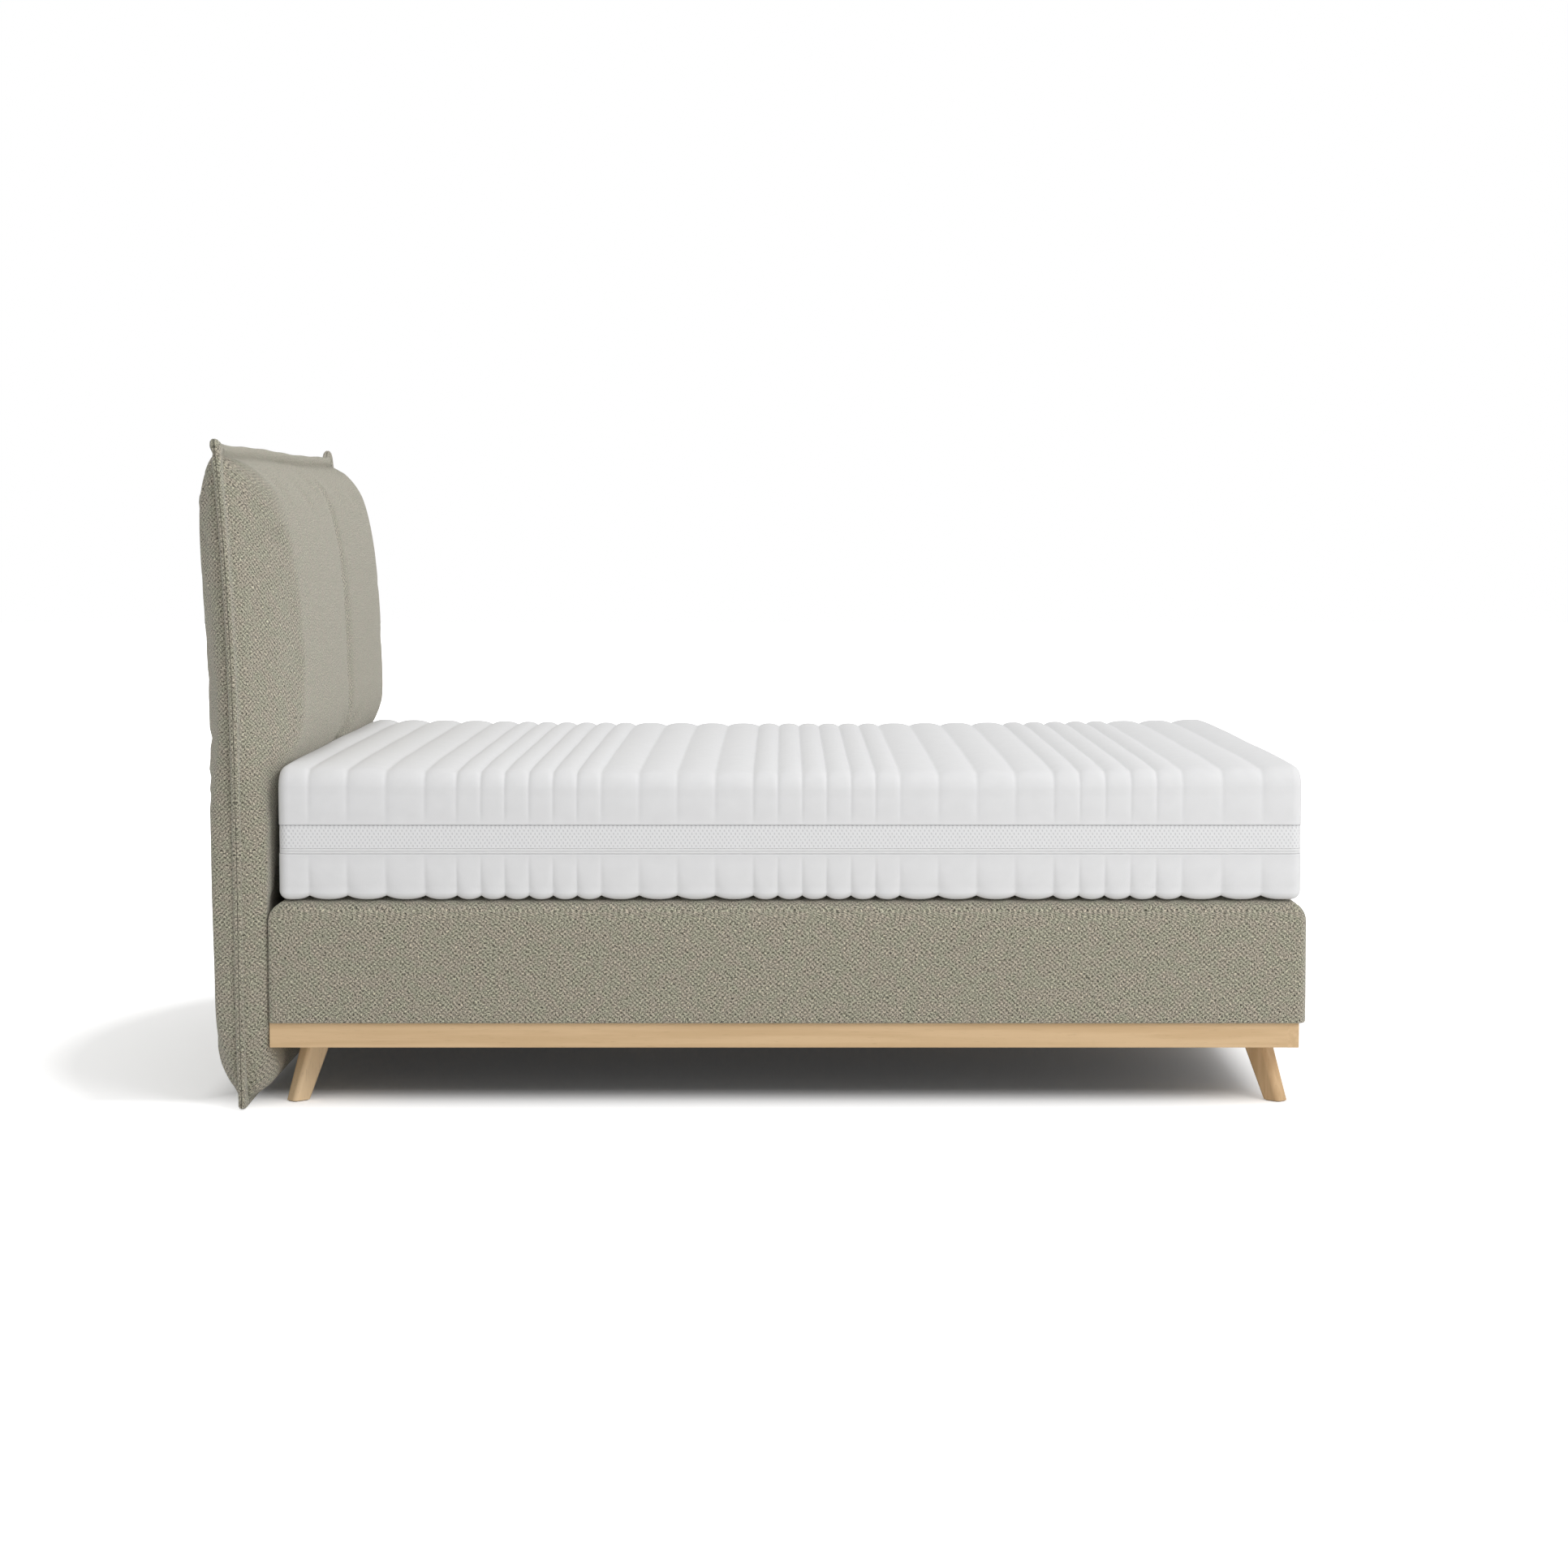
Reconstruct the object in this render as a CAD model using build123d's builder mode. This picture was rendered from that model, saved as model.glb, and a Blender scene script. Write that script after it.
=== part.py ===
from build123d import *
import math
import os

# Box spring bed for two: an oak plinth on splayed legs, an upholstered box with pocket springs,
# a pillow-shaped headboard and a quilted mattress with a zipped cover.
# Lengths are in millimetres. X runs from head to foot, Y from the near side to the far side,
# Z is up from the floor.

# Overall sizes: the mattress sets how long and how wide everything else is
mattress_length = 2000
mattress_width = 1600
mattress_height = 256
leg_height = 122
rail_height = 49
box_height = 243.5
headboard_height = 1309

# How far the plinth, the box and the headboard go beyond the piece before them
plinth_beyond_mattress = 18
box_beyond_foot = 13
box_beyond_side = 10
ear_reach = 25
plinth_length = mattress_length + plinth_beyond_mattress
plinth_width = mattress_width
box_length = plinth_length + box_beyond_foot
box_width = plinth_width + 2 * box_beyond_side
pillow_width = mattress_width
headboard_width = pillow_width + 2 * ear_reach

# Shared clearances and cuts
soft_gap = 0.3
slide_gap = 0.4
bolt_gap = 0.3
overrun = 5

# Plinth
rail_thickness = 22
rail_edge = 1.5
beam_width = 44
block_length = 150
block_width = 180
block_rise = 8

# Legs and their fittings
leg_top_depth = 56
leg_top_width = 38
leg_toe_depth = 42
leg_toe_width = 32
leg_corner = 10
leg_turn = 45
leg_lean = 16.1
leg_inset_head = 76
leg_inset_foot = 66
leg_inset_side = 138
plate_size = 76
plate_corner = 8
plate_thickness = 4
screw_diameter = 4.5
screw_head = 8.5
screw_head_height = 2.4
screw_length = 28
screw_inset = 10
hanger_diameter = 8
hanger_in_leg = 55
hanger_in_block = 30
glide_thickness = 2
glide_inset = 3
centre_leg_top = 50
centre_leg_toe = 34
centre_leg_shares = [1 / 3, 2 / 3]

# Box frame
cover_wall = 7
cover_corner = 20
cover_foot_edge = 8
hem_width = 35
hem_thickness = 2.3
board_thickness = 20
post_size = 45
ledger_width = 40
ledger_height = 35
bearer_width = 40
slat_width = 90
slat_thickness = 18
slat_count = 14
base_felt = 3
spring_margin = 40
spring_string_count = 14
spring_pocket_count = 18
pocket_gap = 6
pocket_web = 6
felt_pad = 5
top_foam = 28.2
dust_thickness = 1.3
carriage_diameter = 8
carriage_head = 16
carriage_head_height = 5.5
carriage_in_post = 42

# Headboard
front_depth = 116
back_depth = 57
back_crown = 5
valley_depth = 11
side_run = 0.9
lower_front_share = 0.44
box_to_headboard = 2
seam_foot = lower_front_share * front_depth + box_to_headboard
seam_lean = 39
seam_bow = 12.5
seam_gap = 1
flange_ply = 9
flange_floor_gap = 2
flange_side_dip = 8
flange_top_dip = 16
pillow_bottom = 22
pillow_top_drop = 39
pillow_height = headboard_height - pillow_bottom - pillow_top_drop
pillow_cover = 4
pillow_swell = 0.5
panel_behind_box = 5
panel_front = seam_foot + panel_behind_box
panel_thickness = 6
post_depth = 28
frame_inset = 30
frame_width = pillow_width - 2 * frame_inset
frame_bottom = 110
frame_top_drop = 129
headboard_post_width = 70
cross_rail_height = 70
bolt_diameter = 8
bolt_head = 16
bolt_head_height = 5.5
bolt_inset = 280
bolt_rises = [19, 129]
bolt_rail_edge = 42
nut_barrel = 10
nut_barrel_length = 12
nut_flange = 22
nut_flange_thickness = 1.5

# Share of the height, and at that level the share of the front depth, back depth and width
level_shares = [0, 0.03, 0.09, 0.2, 0.32, 0.43, 0.51, 0.58, 0.66, 0.75, 0.85, 0.92, 0.965, 1]
front_shares = [0.07, 0.34, 0.435, 0.44, 0.45, 0.53, 0.67, 0.945, 0.99, 1, 0.98, 0.88, 0.63, 0.24]
back_shares = [0.11, 0.77, 1.04, 1.08, 1.08, 1.07, 1.06, 1.06, 1.04, 1.02, 0.98, 0.91, 0.73, 0.18]
width_shares = [
    0.965, 0.985, 0.995, 0.993, 0.991, 0.99, 0.99, 0.99, 0.99, 0.991, 0.994, 0.994, 0.985, 0.965
]

# Mattress
mattress_head_gap = 20
quilt_depth = 28
quilt_groove = 4
quilt_wall = 12
top_corner = 30
bottom_corner = 29
top_sink = 12
core_top_drop = 26
bottom_cover_height = 89
tape_height = 10
band_height = 46
band_recess = 3
band_corner = 25
tape_recess = 4
chain_height = 5
chain_proud = 2
core_cut_width = 4
core_cut_depth = 25
slider_width = 14
slider_height = 8.4
slider_wall = 1.6
slider_inset = 100
pin_diameter = 2
lug_width = 5
lug_cheek = 1.2
pull_length = 30
pull_height = 5
pull_thickness = 2
pull_eye_wall = 1.4
pull_hole = 2.5

# Widths of the quilted channels from head to foot, as shares of the whole
channel_zones = [
    [1.25, 1.57, 1.59, 1.6, 1.3],
    [0.985] * 6,
    [1.56] * 4,
    [1] * 6,
    [1.575] * 4,
    [1.05] * 5,
    [1.635] * 3,
]
channel_shares = [share for zone in channel_zones for share in zone]

sides = {"near": -1, "far": 1}
ends = {"head": -1, "foot": 1}

os.makedirs("parts", exist_ok=True)


# Places that follow from the sizes above

def seam_offset(height):
    """How far behind the head end of the box the headboard's seam runs at a height."""
    share = height / headboard_height
    return seam_foot + seam_lean * share - 4 * seam_bow * share * (1 - share)


headboard_reach = pillow_swell + max(
    seam_offset(pillow_bottom + level_share * pillow_height) + back_share * (back_depth + back_crown)
    for level_share, back_share in zip(level_shares, back_shares)
)
head_x = -(box_length - headboard_reach) / 2
foot_x = head_x + plinth_length
box_foot_x = head_x + box_length
plinth_top = leg_height + rail_height
box_top = plinth_top + box_height
mattress_base = box_top + soft_gap


# Helpers

def edge_x(end, inset):
    """A place along the plinth, measured inwards from its head end or its foot end."""
    return head_x + inset if end < 0 else foot_x - inset


def box_edge_x(end, inset):
    """A place along the box, measured inwards from its head end or its foot end."""
    return head_x + inset if end < 0 else box_foot_x - inset


def block(x_span, y_span, z_span, mode=Mode.ADD):
    """A squared block between two limits along each axis."""
    centre = Plane((sum(x_span) / 2, sum(y_span) / 2, z_span[0]))
    with BuildSketch(centre) as footprint:
        Rectangle(x_span[1] - x_span[0], y_span[1] - y_span[0])
    extrude(footprint.sketch, amount=z_span[1] - z_span[0], mode=mode)


def rod(plane, diameter, length, mode=Mode.ADD):
    """A round bar or a round hole that starts on a plane and runs along its normal."""
    with BuildSketch(plane) as section:
        Circle(diameter / 2)
    extrude(section.sketch, amount=length, mode=mode)


def leg_place(end, side):
    """The middle of a leg's top."""
    inset = leg_inset_head if end < 0 else leg_inset_foot
    return edge_x(end, inset), side * (plinth_width / 2 - leg_inset_side)


def post_place(end, side):
    """The middle of a corner post, where a carriage bolt also stands."""
    inset = cover_wall + board_thickness + post_size / 2
    return box_edge_x(end, inset), side * (box_width / 2 - inset)


def headboard_bolt_places():
    """Side and height of each bolt between the box and the headboard."""
    spread = pillow_width / 2 - bolt_inset
    return [(side * spread, board_base + rise) for side in (-1, 1) for rise in bolt_rises]


corners = [(end, side) for end in ends.values() for side in sides.values()]

# Plinth rails: the foot rail runs across, the side rails butt into it, the head rail fits between
side_span = {
    -1: (-plinth_width / 2, -plinth_width / 2 + rail_thickness),
    1: (plinth_width / 2 - rail_thickness, plinth_width / 2),
}
foot_rail_x = foot_x - rail_thickness
inner_half = plinth_width / 2 - rail_thickness
rail_span = (leg_height, plinth_top)

with BuildPart() as plinth_rail_foot:
    block((foot_rail_x, foot_x), (-plinth_width / 2, plinth_width / 2), rail_span)
    fillet(plinth_rail_foot.faces().sort_by(Axis.X)[-1].edges().filter_by(Axis.Y), rail_edge)
plinth_rail_foot.part.label = "plinth_rail_foot"
export_step(plinth_rail_foot.part, "parts/plinth_rail_foot.step")

with BuildPart() as plinth_rail_head:
    block((head_x, head_x + rail_thickness), (-inner_half, inner_half), rail_span)
plinth_rail_head.part.label = "plinth_rail_head"
export_step(plinth_rail_head.part, "parts/plinth_rail_head.step")

for side_name, side in sides.items():
    with BuildPart() as plinth_rail:
        block((head_x, foot_rail_x), side_span[side], rail_span)
        outer_face = plinth_rail.faces().sort_by(Axis.Y)[-1 if side > 0 else 0]
        fillet(outer_face.edges().filter_by(Axis.X), rail_edge)
    plinth_rail.part.label = f"plinth_rail_{side_name}"
    export_step(plinth_rail.part, f"parts/plinth_rail_{side_name}.step")

with BuildPart() as plinth_centre_beam:
    block((head_x + rail_thickness, foot_rail_x), (-beam_width / 2, beam_width / 2), rail_span)
    for share in centre_leg_shares:
        socket = Plane((head_x + share * plinth_length, 0, leg_height))
        rod(socket, hanger_diameter, hanger_in_block, Mode.SUBTRACT)
plinth_centre_beam.part.label = "plinth_centre_beam"
export_step(plinth_centre_beam.part, "parts/plinth_centre_beam.step")

# Corner blocks with the holes for the leg bolts, the plate screws and the carriage bolts
block_base = leg_height + block_rise
plate_base = block_base - plate_thickness
screw_offset = plate_size / 2 - screw_inset
lip_clear = plinth_top + hem_thickness

with BuildPart() as plinth_corner_blocks:
    for end, side in corners:
        x_span = sorted((edge_x(end, rail_thickness), edge_x(end, rail_thickness + block_length)))
        y_span = sorted((side * inner_half, side * (inner_half - block_width)))
        block(x_span, y_span, (block_base, plinth_top))
    for end, side in corners:
        leg_x, leg_y = leg_place(end, side)
        rod(Plane((leg_x, leg_y, block_base)), hanger_diameter, hanger_in_block, Mode.SUBTRACT)
        post_x, post_y = post_place(end, side)
        rod(Plane((post_x, post_y, block_base)), carriage_diameter, block_length, Mode.SUBTRACT)
        with BuildSketch(Plane((leg_x, leg_y, block_base))):
            with GridLocations(2 * screw_offset, 2 * screw_offset, 2, 2):
                Circle(screw_diameter / 2)
        extrude(amount=screw_length - plate_thickness, mode=Mode.SUBTRACT)
plinth_corner_blocks.part.label = "plinth_corner_blocks"
export_step(plinth_corner_blocks.part, "parts/plinth_corner_blocks.step")

# Legs: a rounded oblong that tapers and leans out towards its corner
leg_span = plate_base - glide_thickness
lean_run = leg_span * math.tan(math.radians(leg_lean))


def leg_plane(end, side, height):
    """The section plane of a leg at a height, with its long side pointing at the bed's corner."""
    top_x, top_y = leg_place(end, side)
    drop = (plate_base - height) / leg_span
    centre = (top_x + end * drop * lean_run, top_y + side * drop * lean_run, height)
    turn = math.radians(leg_turn)
    outward = (end * math.cos(turn), side * math.sin(turn), 0)
    return Plane(origin=centre, x_dir=outward, z_dir=(0, 0, 1))


for end_name, end in ends.items():
    for side_name, side in sides.items():
        with BuildPart() as leg:
            with BuildSketch(leg_plane(end, side, glide_thickness)):
                RectangleRounded(leg_toe_depth, leg_toe_width, leg_corner)
            with BuildSketch(leg_plane(end, side, plate_base)):
                RectangleRounded(leg_top_depth, leg_top_width, leg_corner)
            loft()
            leg_x, leg_y = leg_place(end, side)
            bolt_foot = Plane((leg_x, leg_y, plate_base - hanger_in_leg))
            rod(bolt_foot, hanger_diameter, hanger_in_leg, Mode.SUBTRACT)
        leg.part.label = f"leg_{side_name}_{end_name}"
        export_step(leg.part, f"parts/leg_{side_name}_{end_name}.step")

with BuildPart() as leg_glides:
    for end, side in corners:
        with BuildSketch(leg_plane(end, side, 0)):
            RectangleRounded(
                leg_toe_depth - 2 * glide_inset,
                leg_toe_width - 2 * glide_inset,
                leg_corner - glide_inset,
            )
        extrude(amount=glide_thickness)
    for share in centre_leg_shares:
        floor_spot = Plane((head_x + share * plinth_length, 0, 0))
        rod(floor_spot, centre_leg_toe - 2 * glide_inset, glide_thickness)
leg_glides.part.label = "leg_glides"
export_step(leg_glides.part, "parts/leg_glides.step")

with BuildPart() as centre_legs:
    for share in centre_leg_shares:
        leg_x = head_x + share * plinth_length
        with Locations((leg_x, 0, glide_thickness)):
            Cone(
                centre_leg_toe / 2,
                centre_leg_top / 2,
                leg_height - glide_thickness,
                align=(Align.CENTER, Align.CENTER, Align.MIN),
            )
    for share in centre_leg_shares:
        bolt_foot = Plane((head_x + share * plinth_length, 0, leg_height - hanger_in_leg))
        rod(bolt_foot, hanger_diameter, hanger_in_leg, Mode.SUBTRACT)
centre_legs.part.label = "centre_legs"
export_step(centre_legs.part, "parts/centre_legs.step")

screw_places = [
    (leg_place(end, side)[0] + step_x, leg_place(end, side)[1] + step_y, plate_base)
    for end, side in corners
    for step_x in (-screw_offset, screw_offset)
    for step_y in (-screw_offset, screw_offset)
]


def screw_cone(mode=Mode.ADD):
    """The countersunk heads of the plate screws, or the hollows that they sit in."""
    with Locations(*screw_places):
        Cone(
            screw_head / 2,
            screw_diameter / 2,
            screw_head_height,
            align=(Align.CENTER, Align.CENTER, Align.MIN),
            mode=mode,
        )


with BuildPart() as leg_plates:
    for end, side in corners:
        leg_x, leg_y = leg_place(end, side)
        with BuildSketch(Plane((leg_x, leg_y, plate_base))):
            RectangleRounded(plate_size, plate_size, plate_corner)
            Circle(hanger_diameter / 2, mode=Mode.SUBTRACT)
            with GridLocations(2 * screw_offset, 2 * screw_offset, 2, 2):
                Circle(screw_diameter / 2, mode=Mode.SUBTRACT)
        extrude(amount=plate_thickness)
    screw_cone(Mode.SUBTRACT)
leg_plates.part.label = "leg_plates"
export_step(leg_plates.part, "parts/leg_plates.step")

with BuildPart() as plate_screws:
    screw_cone()
    for place in screw_places:
        rod(Plane(place), screw_diameter, screw_length)
plate_screws.part.label = "plate_screws"
export_step(plate_screws.part, "parts/plate_screws.step")

with BuildPart() as leg_hanger_bolts:
    for end, side in corners:
        leg_x, leg_y = leg_place(end, side)
        bolt_foot = Plane((leg_x, leg_y, plate_base - hanger_in_leg))
        rod(bolt_foot, hanger_diameter, hanger_in_leg + plate_thickness + hanger_in_block)
    for share in centre_leg_shares:
        bolt_foot = Plane((head_x + share * plinth_length, 0, leg_height - hanger_in_leg))
        rod(bolt_foot, hanger_diameter, hanger_in_leg + hanger_in_block)
leg_hanger_bolts.part.label = "leg_hanger_bolts"
export_step(leg_hanger_bolts.part, "parts/leg_hanger_bolts.step")

# Box frame: boards and posts inside the cover's walls, standing on its turned-in hem
board_base = lip_clear
hollow_top = box_top - cover_wall
foam_base = hollow_top - top_foam
board_top = foam_base - felt_pad
frame_corner = cover_corner - cover_wall
frame_x = (head_x + cover_wall, box_foot_x - cover_wall)
frame_half = box_width / 2 - cover_wall
hollow_x = (frame_x[0] + board_thickness, frame_x[1] - board_thickness)
hollow_half = frame_half - board_thickness
board_span = (board_base, board_top)

for end_name, end in ends.items():
    with BuildPart() as end_board:
        x_span = sorted((box_edge_x(end, cover_wall), box_edge_x(end, cover_wall + board_thickness)))
        block(x_span, (-frame_half, frame_half), board_span)
        outer_face = end_board.faces().sort_by(Axis.X)[-1 if end > 0 else 0]
        fillet(outer_face.edges().filter_by(Axis.Z), frame_corner)
        if end < 0:
            for bolt_y, bolt_z in headboard_bolt_places():
                hole = Plane(origin=(frame_x[0], bolt_y, bolt_z), z_dir=(1, 0, 0))
                rod(hole, bolt_diameter, board_thickness, Mode.SUBTRACT)
    end_board.part.label = f"box_{end_name}_board"
    export_step(end_board.part, f"parts/box_{end_name}_board.step")

for side_name, side in sides.items():
    with BuildPart() as side_board:
        block(hollow_x, sorted((side * frame_half, side * hollow_half)), board_span)
    side_board.part.label = f"box_side_board_{side_name}"
    export_step(side_board.part, f"parts/box_side_board_{side_name}.step")

with BuildPart() as box_corner_posts:
    for end, side in corners:
        post_x, post_y = post_place(end, side)
        half = post_size / 2
        block((post_x - half, post_x + half), (post_y - half, post_y + half), board_span)
    for end, side in corners:
        post_x, post_y = post_place(end, side)
        rod(Plane((post_x, post_y, board_base)), carriage_diameter, carriage_in_post, Mode.SUBTRACT)
box_corner_posts.part.label = "box_corner_posts"
export_step(box_corner_posts.part, "parts/box_corner_posts.step")

ledger_span = (board_base, board_base + ledger_height)
with BuildPart() as box_ledgers:
    for side in sides.values():
        y_span = sorted((side * hollow_half, side * (hollow_half - ledger_width)))
        block((hollow_x[0] + post_size, hollow_x[1] - post_size), y_span, ledger_span)
box_ledgers.part.label = "box_ledgers"
export_step(box_ledgers.part, "parts/box_ledgers.step")

with BuildPart() as box_centre_bearer:
    block(hollow_x, (-bearer_width / 2, bearer_width / 2), ledger_span)
box_centre_bearer.part.label = "box_centre_bearer"
export_step(box_centre_bearer.part, "parts/box_centre_bearer.step")

slat_base = ledger_span[1]
slat_first = hollow_x[0] + post_size + slat_width / 2
slat_last = hollow_x[1] - post_size - slat_width / 2
slat_pitch = (slat_last - slat_first) / (slat_count - 1)
with BuildPart() as box_slats:
    for slat in range(slat_count):
        slat_x = slat_first + slat * slat_pitch
        x_span = (slat_x - slat_width / 2, slat_x + slat_width / 2)
        block(x_span, (-hollow_half, hollow_half), (slat_base, slat_base + slat_thickness))
box_slats.part.label = "box_slats"
export_step(box_slats.part, "parts/box_slats.step")


def cut_posts(z_span):
    """Notches a sheet around the corner posts."""
    for end, side in corners:
        post_x, post_y = post_place(end, side)
        half = post_size / 2
        block((post_x - half, post_x + half), (post_y - half, post_y + half), z_span, Mode.SUBTRACT)


felt_base = slat_base + slat_thickness
felt_span = (felt_base, felt_base + base_felt)
with BuildPart() as box_spring_base:
    block(hollow_x, (-hollow_half, hollow_half), felt_span)
    cut_posts(felt_span)
box_spring_base.part.label = "box_spring_base"
export_step(box_spring_base.part, "parts/box_spring_base.step")

# Pocket springs: each string is a row of fabric pockets joined by the web sewn between them
spring_base = felt_span[1]
string_length = hollow_x[1] - hollow_x[0] - 2 * spring_margin
strings_width = 2 * (hollow_half - spring_margin)
pocket_pitch = (string_length + pocket_gap) / spring_pocket_count
string_pitch = (strings_width + pocket_gap) / spring_string_count
pocket_diameter = min(pocket_pitch, string_pitch) - pocket_gap
with BuildPart() as box_pocket_springs:
    for string in range(spring_string_count):
        string_y = (string - (spring_string_count - 1) / 2) * string_pitch
        with BuildSketch(Plane(((hollow_x[0] + hollow_x[1]) / 2, string_y, spring_base))):
            Rectangle((spring_pocket_count - 1) * pocket_pitch, pocket_web)
            with GridLocations(pocket_pitch, 0, spring_pocket_count, 1):
                Circle(pocket_diameter / 2)
        extrude(amount=board_top - spring_base)
box_pocket_springs.part.label = "box_pocket_springs"
export_step(box_pocket_springs.part, "parts/box_pocket_springs.step")

with BuildPart() as box_felt_pad:
    block(frame_x, (-frame_half, frame_half), (board_top, board_top + felt_pad))
    fillet(box_felt_pad.edges().filter_by(Axis.Z), frame_corner)
box_felt_pad.part.label = "box_felt_pad"
export_step(box_felt_pad.part, "parts/box_felt_pad.step")

with BuildPart() as box_top_foam:
    block(frame_x, (-frame_half, frame_half), (foam_base, hollow_top))
    fillet(box_top_foam.edges().filter_by(Axis.Z), frame_corner)
    fillet(box_top_foam.faces().sort_by(Axis.Z)[-1].edges(), frame_corner)
box_top_foam.part.label = "box_top_foam"
export_step(box_top_foam.part, "parts/box_top_foam.step")

# Box cover: padded walls and top, with a hem that turns in under the boards
hem_x = (head_x + cover_wall + hem_width, box_foot_x - cover_wall - hem_width)
hem_half = frame_half - hem_width
with BuildPart() as box_cover:
    block((head_x, box_foot_x), (-box_width / 2, box_width / 2), (plinth_top, box_top))
    fillet(box_cover.edges().filter_by(Axis.Z), cover_corner)
    fillet(box_cover.faces().sort_by(Axis.Z)[-1].edges(), cover_corner)
    fillet(box_cover.faces().sort_by(Axis.Z)[0].edges(), cover_foot_edge)
    with BuildPart(mode=Mode.PRIVATE) as cover_hollow:
        block(frame_x, (-frame_half, frame_half), (board_base, hollow_top))
        fillet(cover_hollow.edges().filter_by(Axis.Z), frame_corner)
        fillet(cover_hollow.faces().sort_by(Axis.Z)[-1].edges(), frame_corner)
    add(cover_hollow.part, mode=Mode.SUBTRACT)
    block(hem_x, (-hem_half, hem_half), (plinth_top, board_base), Mode.SUBTRACT)
    for bolt_y, bolt_z in headboard_bolt_places():
        hole = Plane(origin=(head_x, bolt_y, bolt_z), z_dir=(1, 0, 0))
        rod(hole, bolt_diameter + 2 * bolt_gap, cover_wall, Mode.SUBTRACT)
box_cover.part.label = "box_cover"
export_step(box_cover.part, "parts/box_cover.step")

with BuildPart() as box_dust_cover:
    block(
        (hem_x[0] + soft_gap, hem_x[1] - soft_gap),
        (-hem_half + soft_gap, hem_half - soft_gap),
        (board_base - dust_thickness, board_base),
    )
    for end, side in corners:
        post_x, post_y = post_place(end, side)
        hole = Plane((post_x, post_y, board_base - dust_thickness))
        rod(hole, carriage_diameter + 2 * bolt_gap, dust_thickness, Mode.SUBTRACT)
box_dust_cover.part.label = "box_dust_cover"
export_step(box_dust_cover.part, "parts/box_dust_cover.step")

with BuildPart() as box_bolts:
    for end, side in corners:
        post_x, post_y = post_place(end, side)
        seat = Plane((post_x, post_y, block_base))
        with BuildSketch(seat.offset(-carriage_head_height)):
            RegularPolygon(carriage_head / 2, 6)
        extrude(amount=carriage_head_height)
        rod(seat, carriage_diameter, board_base + carriage_in_post - block_base)
box_bolts.part.label = "box_bolts"
export_step(box_bolts.part, "parts/box_bolts.step")

# Headboard frame: posts and cross rails behind a panel, set upright behind the box
panel_x = head_x - panel_front
post_front_x = panel_x - panel_thickness
post_back_x = post_front_x - post_depth
frame_top = headboard_height - frame_top_drop
bolt_rail_span = (
    board_base + bolt_rises[0] - bolt_rail_edge,
    board_base + bolt_rises[1] + bolt_rail_edge,
)
top_rail_span = (frame_top - cross_rail_height, frame_top)
middle_rail_z = (bolt_rail_span[1] + top_rail_span[0]) / 2
middle_rail_span = (middle_rail_z - cross_rail_height / 2, middle_rail_z + cross_rail_height / 2)
inner_frame_half = frame_width / 2 - headboard_post_width

for side_name, side in sides.items():
    with BuildPart() as headboard_post:
        y_span = sorted((side * frame_width / 2, side * inner_frame_half))
        block((post_back_x, post_front_x), y_span, (frame_bottom, frame_top))
    headboard_post.part.label = f"headboard_post_{side_name}"
    export_step(headboard_post.part, f"parts/headboard_post_{side_name}.step")

with BuildPart() as headboard_cross_rails:
    for cross_span in (bolt_rail_span, middle_rail_span, top_rail_span):
        block((post_back_x, post_front_x), (-inner_frame_half, inner_frame_half), cross_span)
    for bolt_y, bolt_z in headboard_bolt_places():
        hole = Plane(origin=(post_back_x, bolt_y, bolt_z), z_dir=(1, 0, 0))
        rod(hole, nut_flange, nut_flange_thickness, Mode.SUBTRACT)
        rod(hole, nut_barrel, nut_barrel_length, Mode.SUBTRACT)
        rod(hole, bolt_diameter, post_depth, Mode.SUBTRACT)
headboard_cross_rails.part.label = "headboard_cross_rails"
export_step(headboard_cross_rails.part, "parts/headboard_cross_rails.step")

with BuildPart() as headboard_panel:
    block((post_front_x, panel_x), (-frame_width / 2, frame_width / 2), (frame_bottom, frame_top))
    for bolt_y, bolt_z in headboard_bolt_places():
        hole = Plane(origin=(post_front_x, bolt_y, bolt_z), z_dir=(1, 0, 0))
        rod(hole, bolt_diameter, panel_thickness, Mode.SUBTRACT)
headboard_panel.part.label = "headboard_panel"
export_step(headboard_panel.part, "parts/headboard_panel.step")

with BuildPart() as headboard_tee_nuts:
    for bolt_y, bolt_z in headboard_bolt_places():
        nut = Plane(origin=(post_back_x, bolt_y, bolt_z), z_dir=(1, 0, 0))
        rod(nut, nut_flange, nut_flange_thickness)
        rod(nut, nut_barrel, nut_barrel_length)
        rod(nut, bolt_diameter, nut_barrel_length, Mode.SUBTRACT)
headboard_tee_nuts.part.label = "headboard_tee_nuts"
export_step(headboard_tee_nuts.part, "parts/headboard_tee_nuts.step")

with BuildPart() as headboard_bolts:
    for bolt_y, bolt_z in headboard_bolt_places():
        head = Plane(origin=(hollow_x[0], bolt_y, bolt_z), z_dir=(1, 0, 0))
        with BuildSketch(head):
            RegularPolygon(bolt_head / 2, 6)
        extrude(amount=bolt_head_height)
        tip = Plane(origin=(post_back_x, bolt_y, bolt_z), z_dir=(1, 0, 0))
        rod(tip, bolt_diameter, hollow_x[0] - post_back_x)
headboard_bolts.part.label = "headboard_bolts"
export_step(headboard_bolts.part, "parts/headboard_bolts.step")


# Headboard upholstery: a pillow whose two covers meet in a flanged seam that leans back

def seam_x(height):
    """Where the seam between the front and the back cover runs at a height."""
    return head_x - seam_offset(height)


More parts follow.
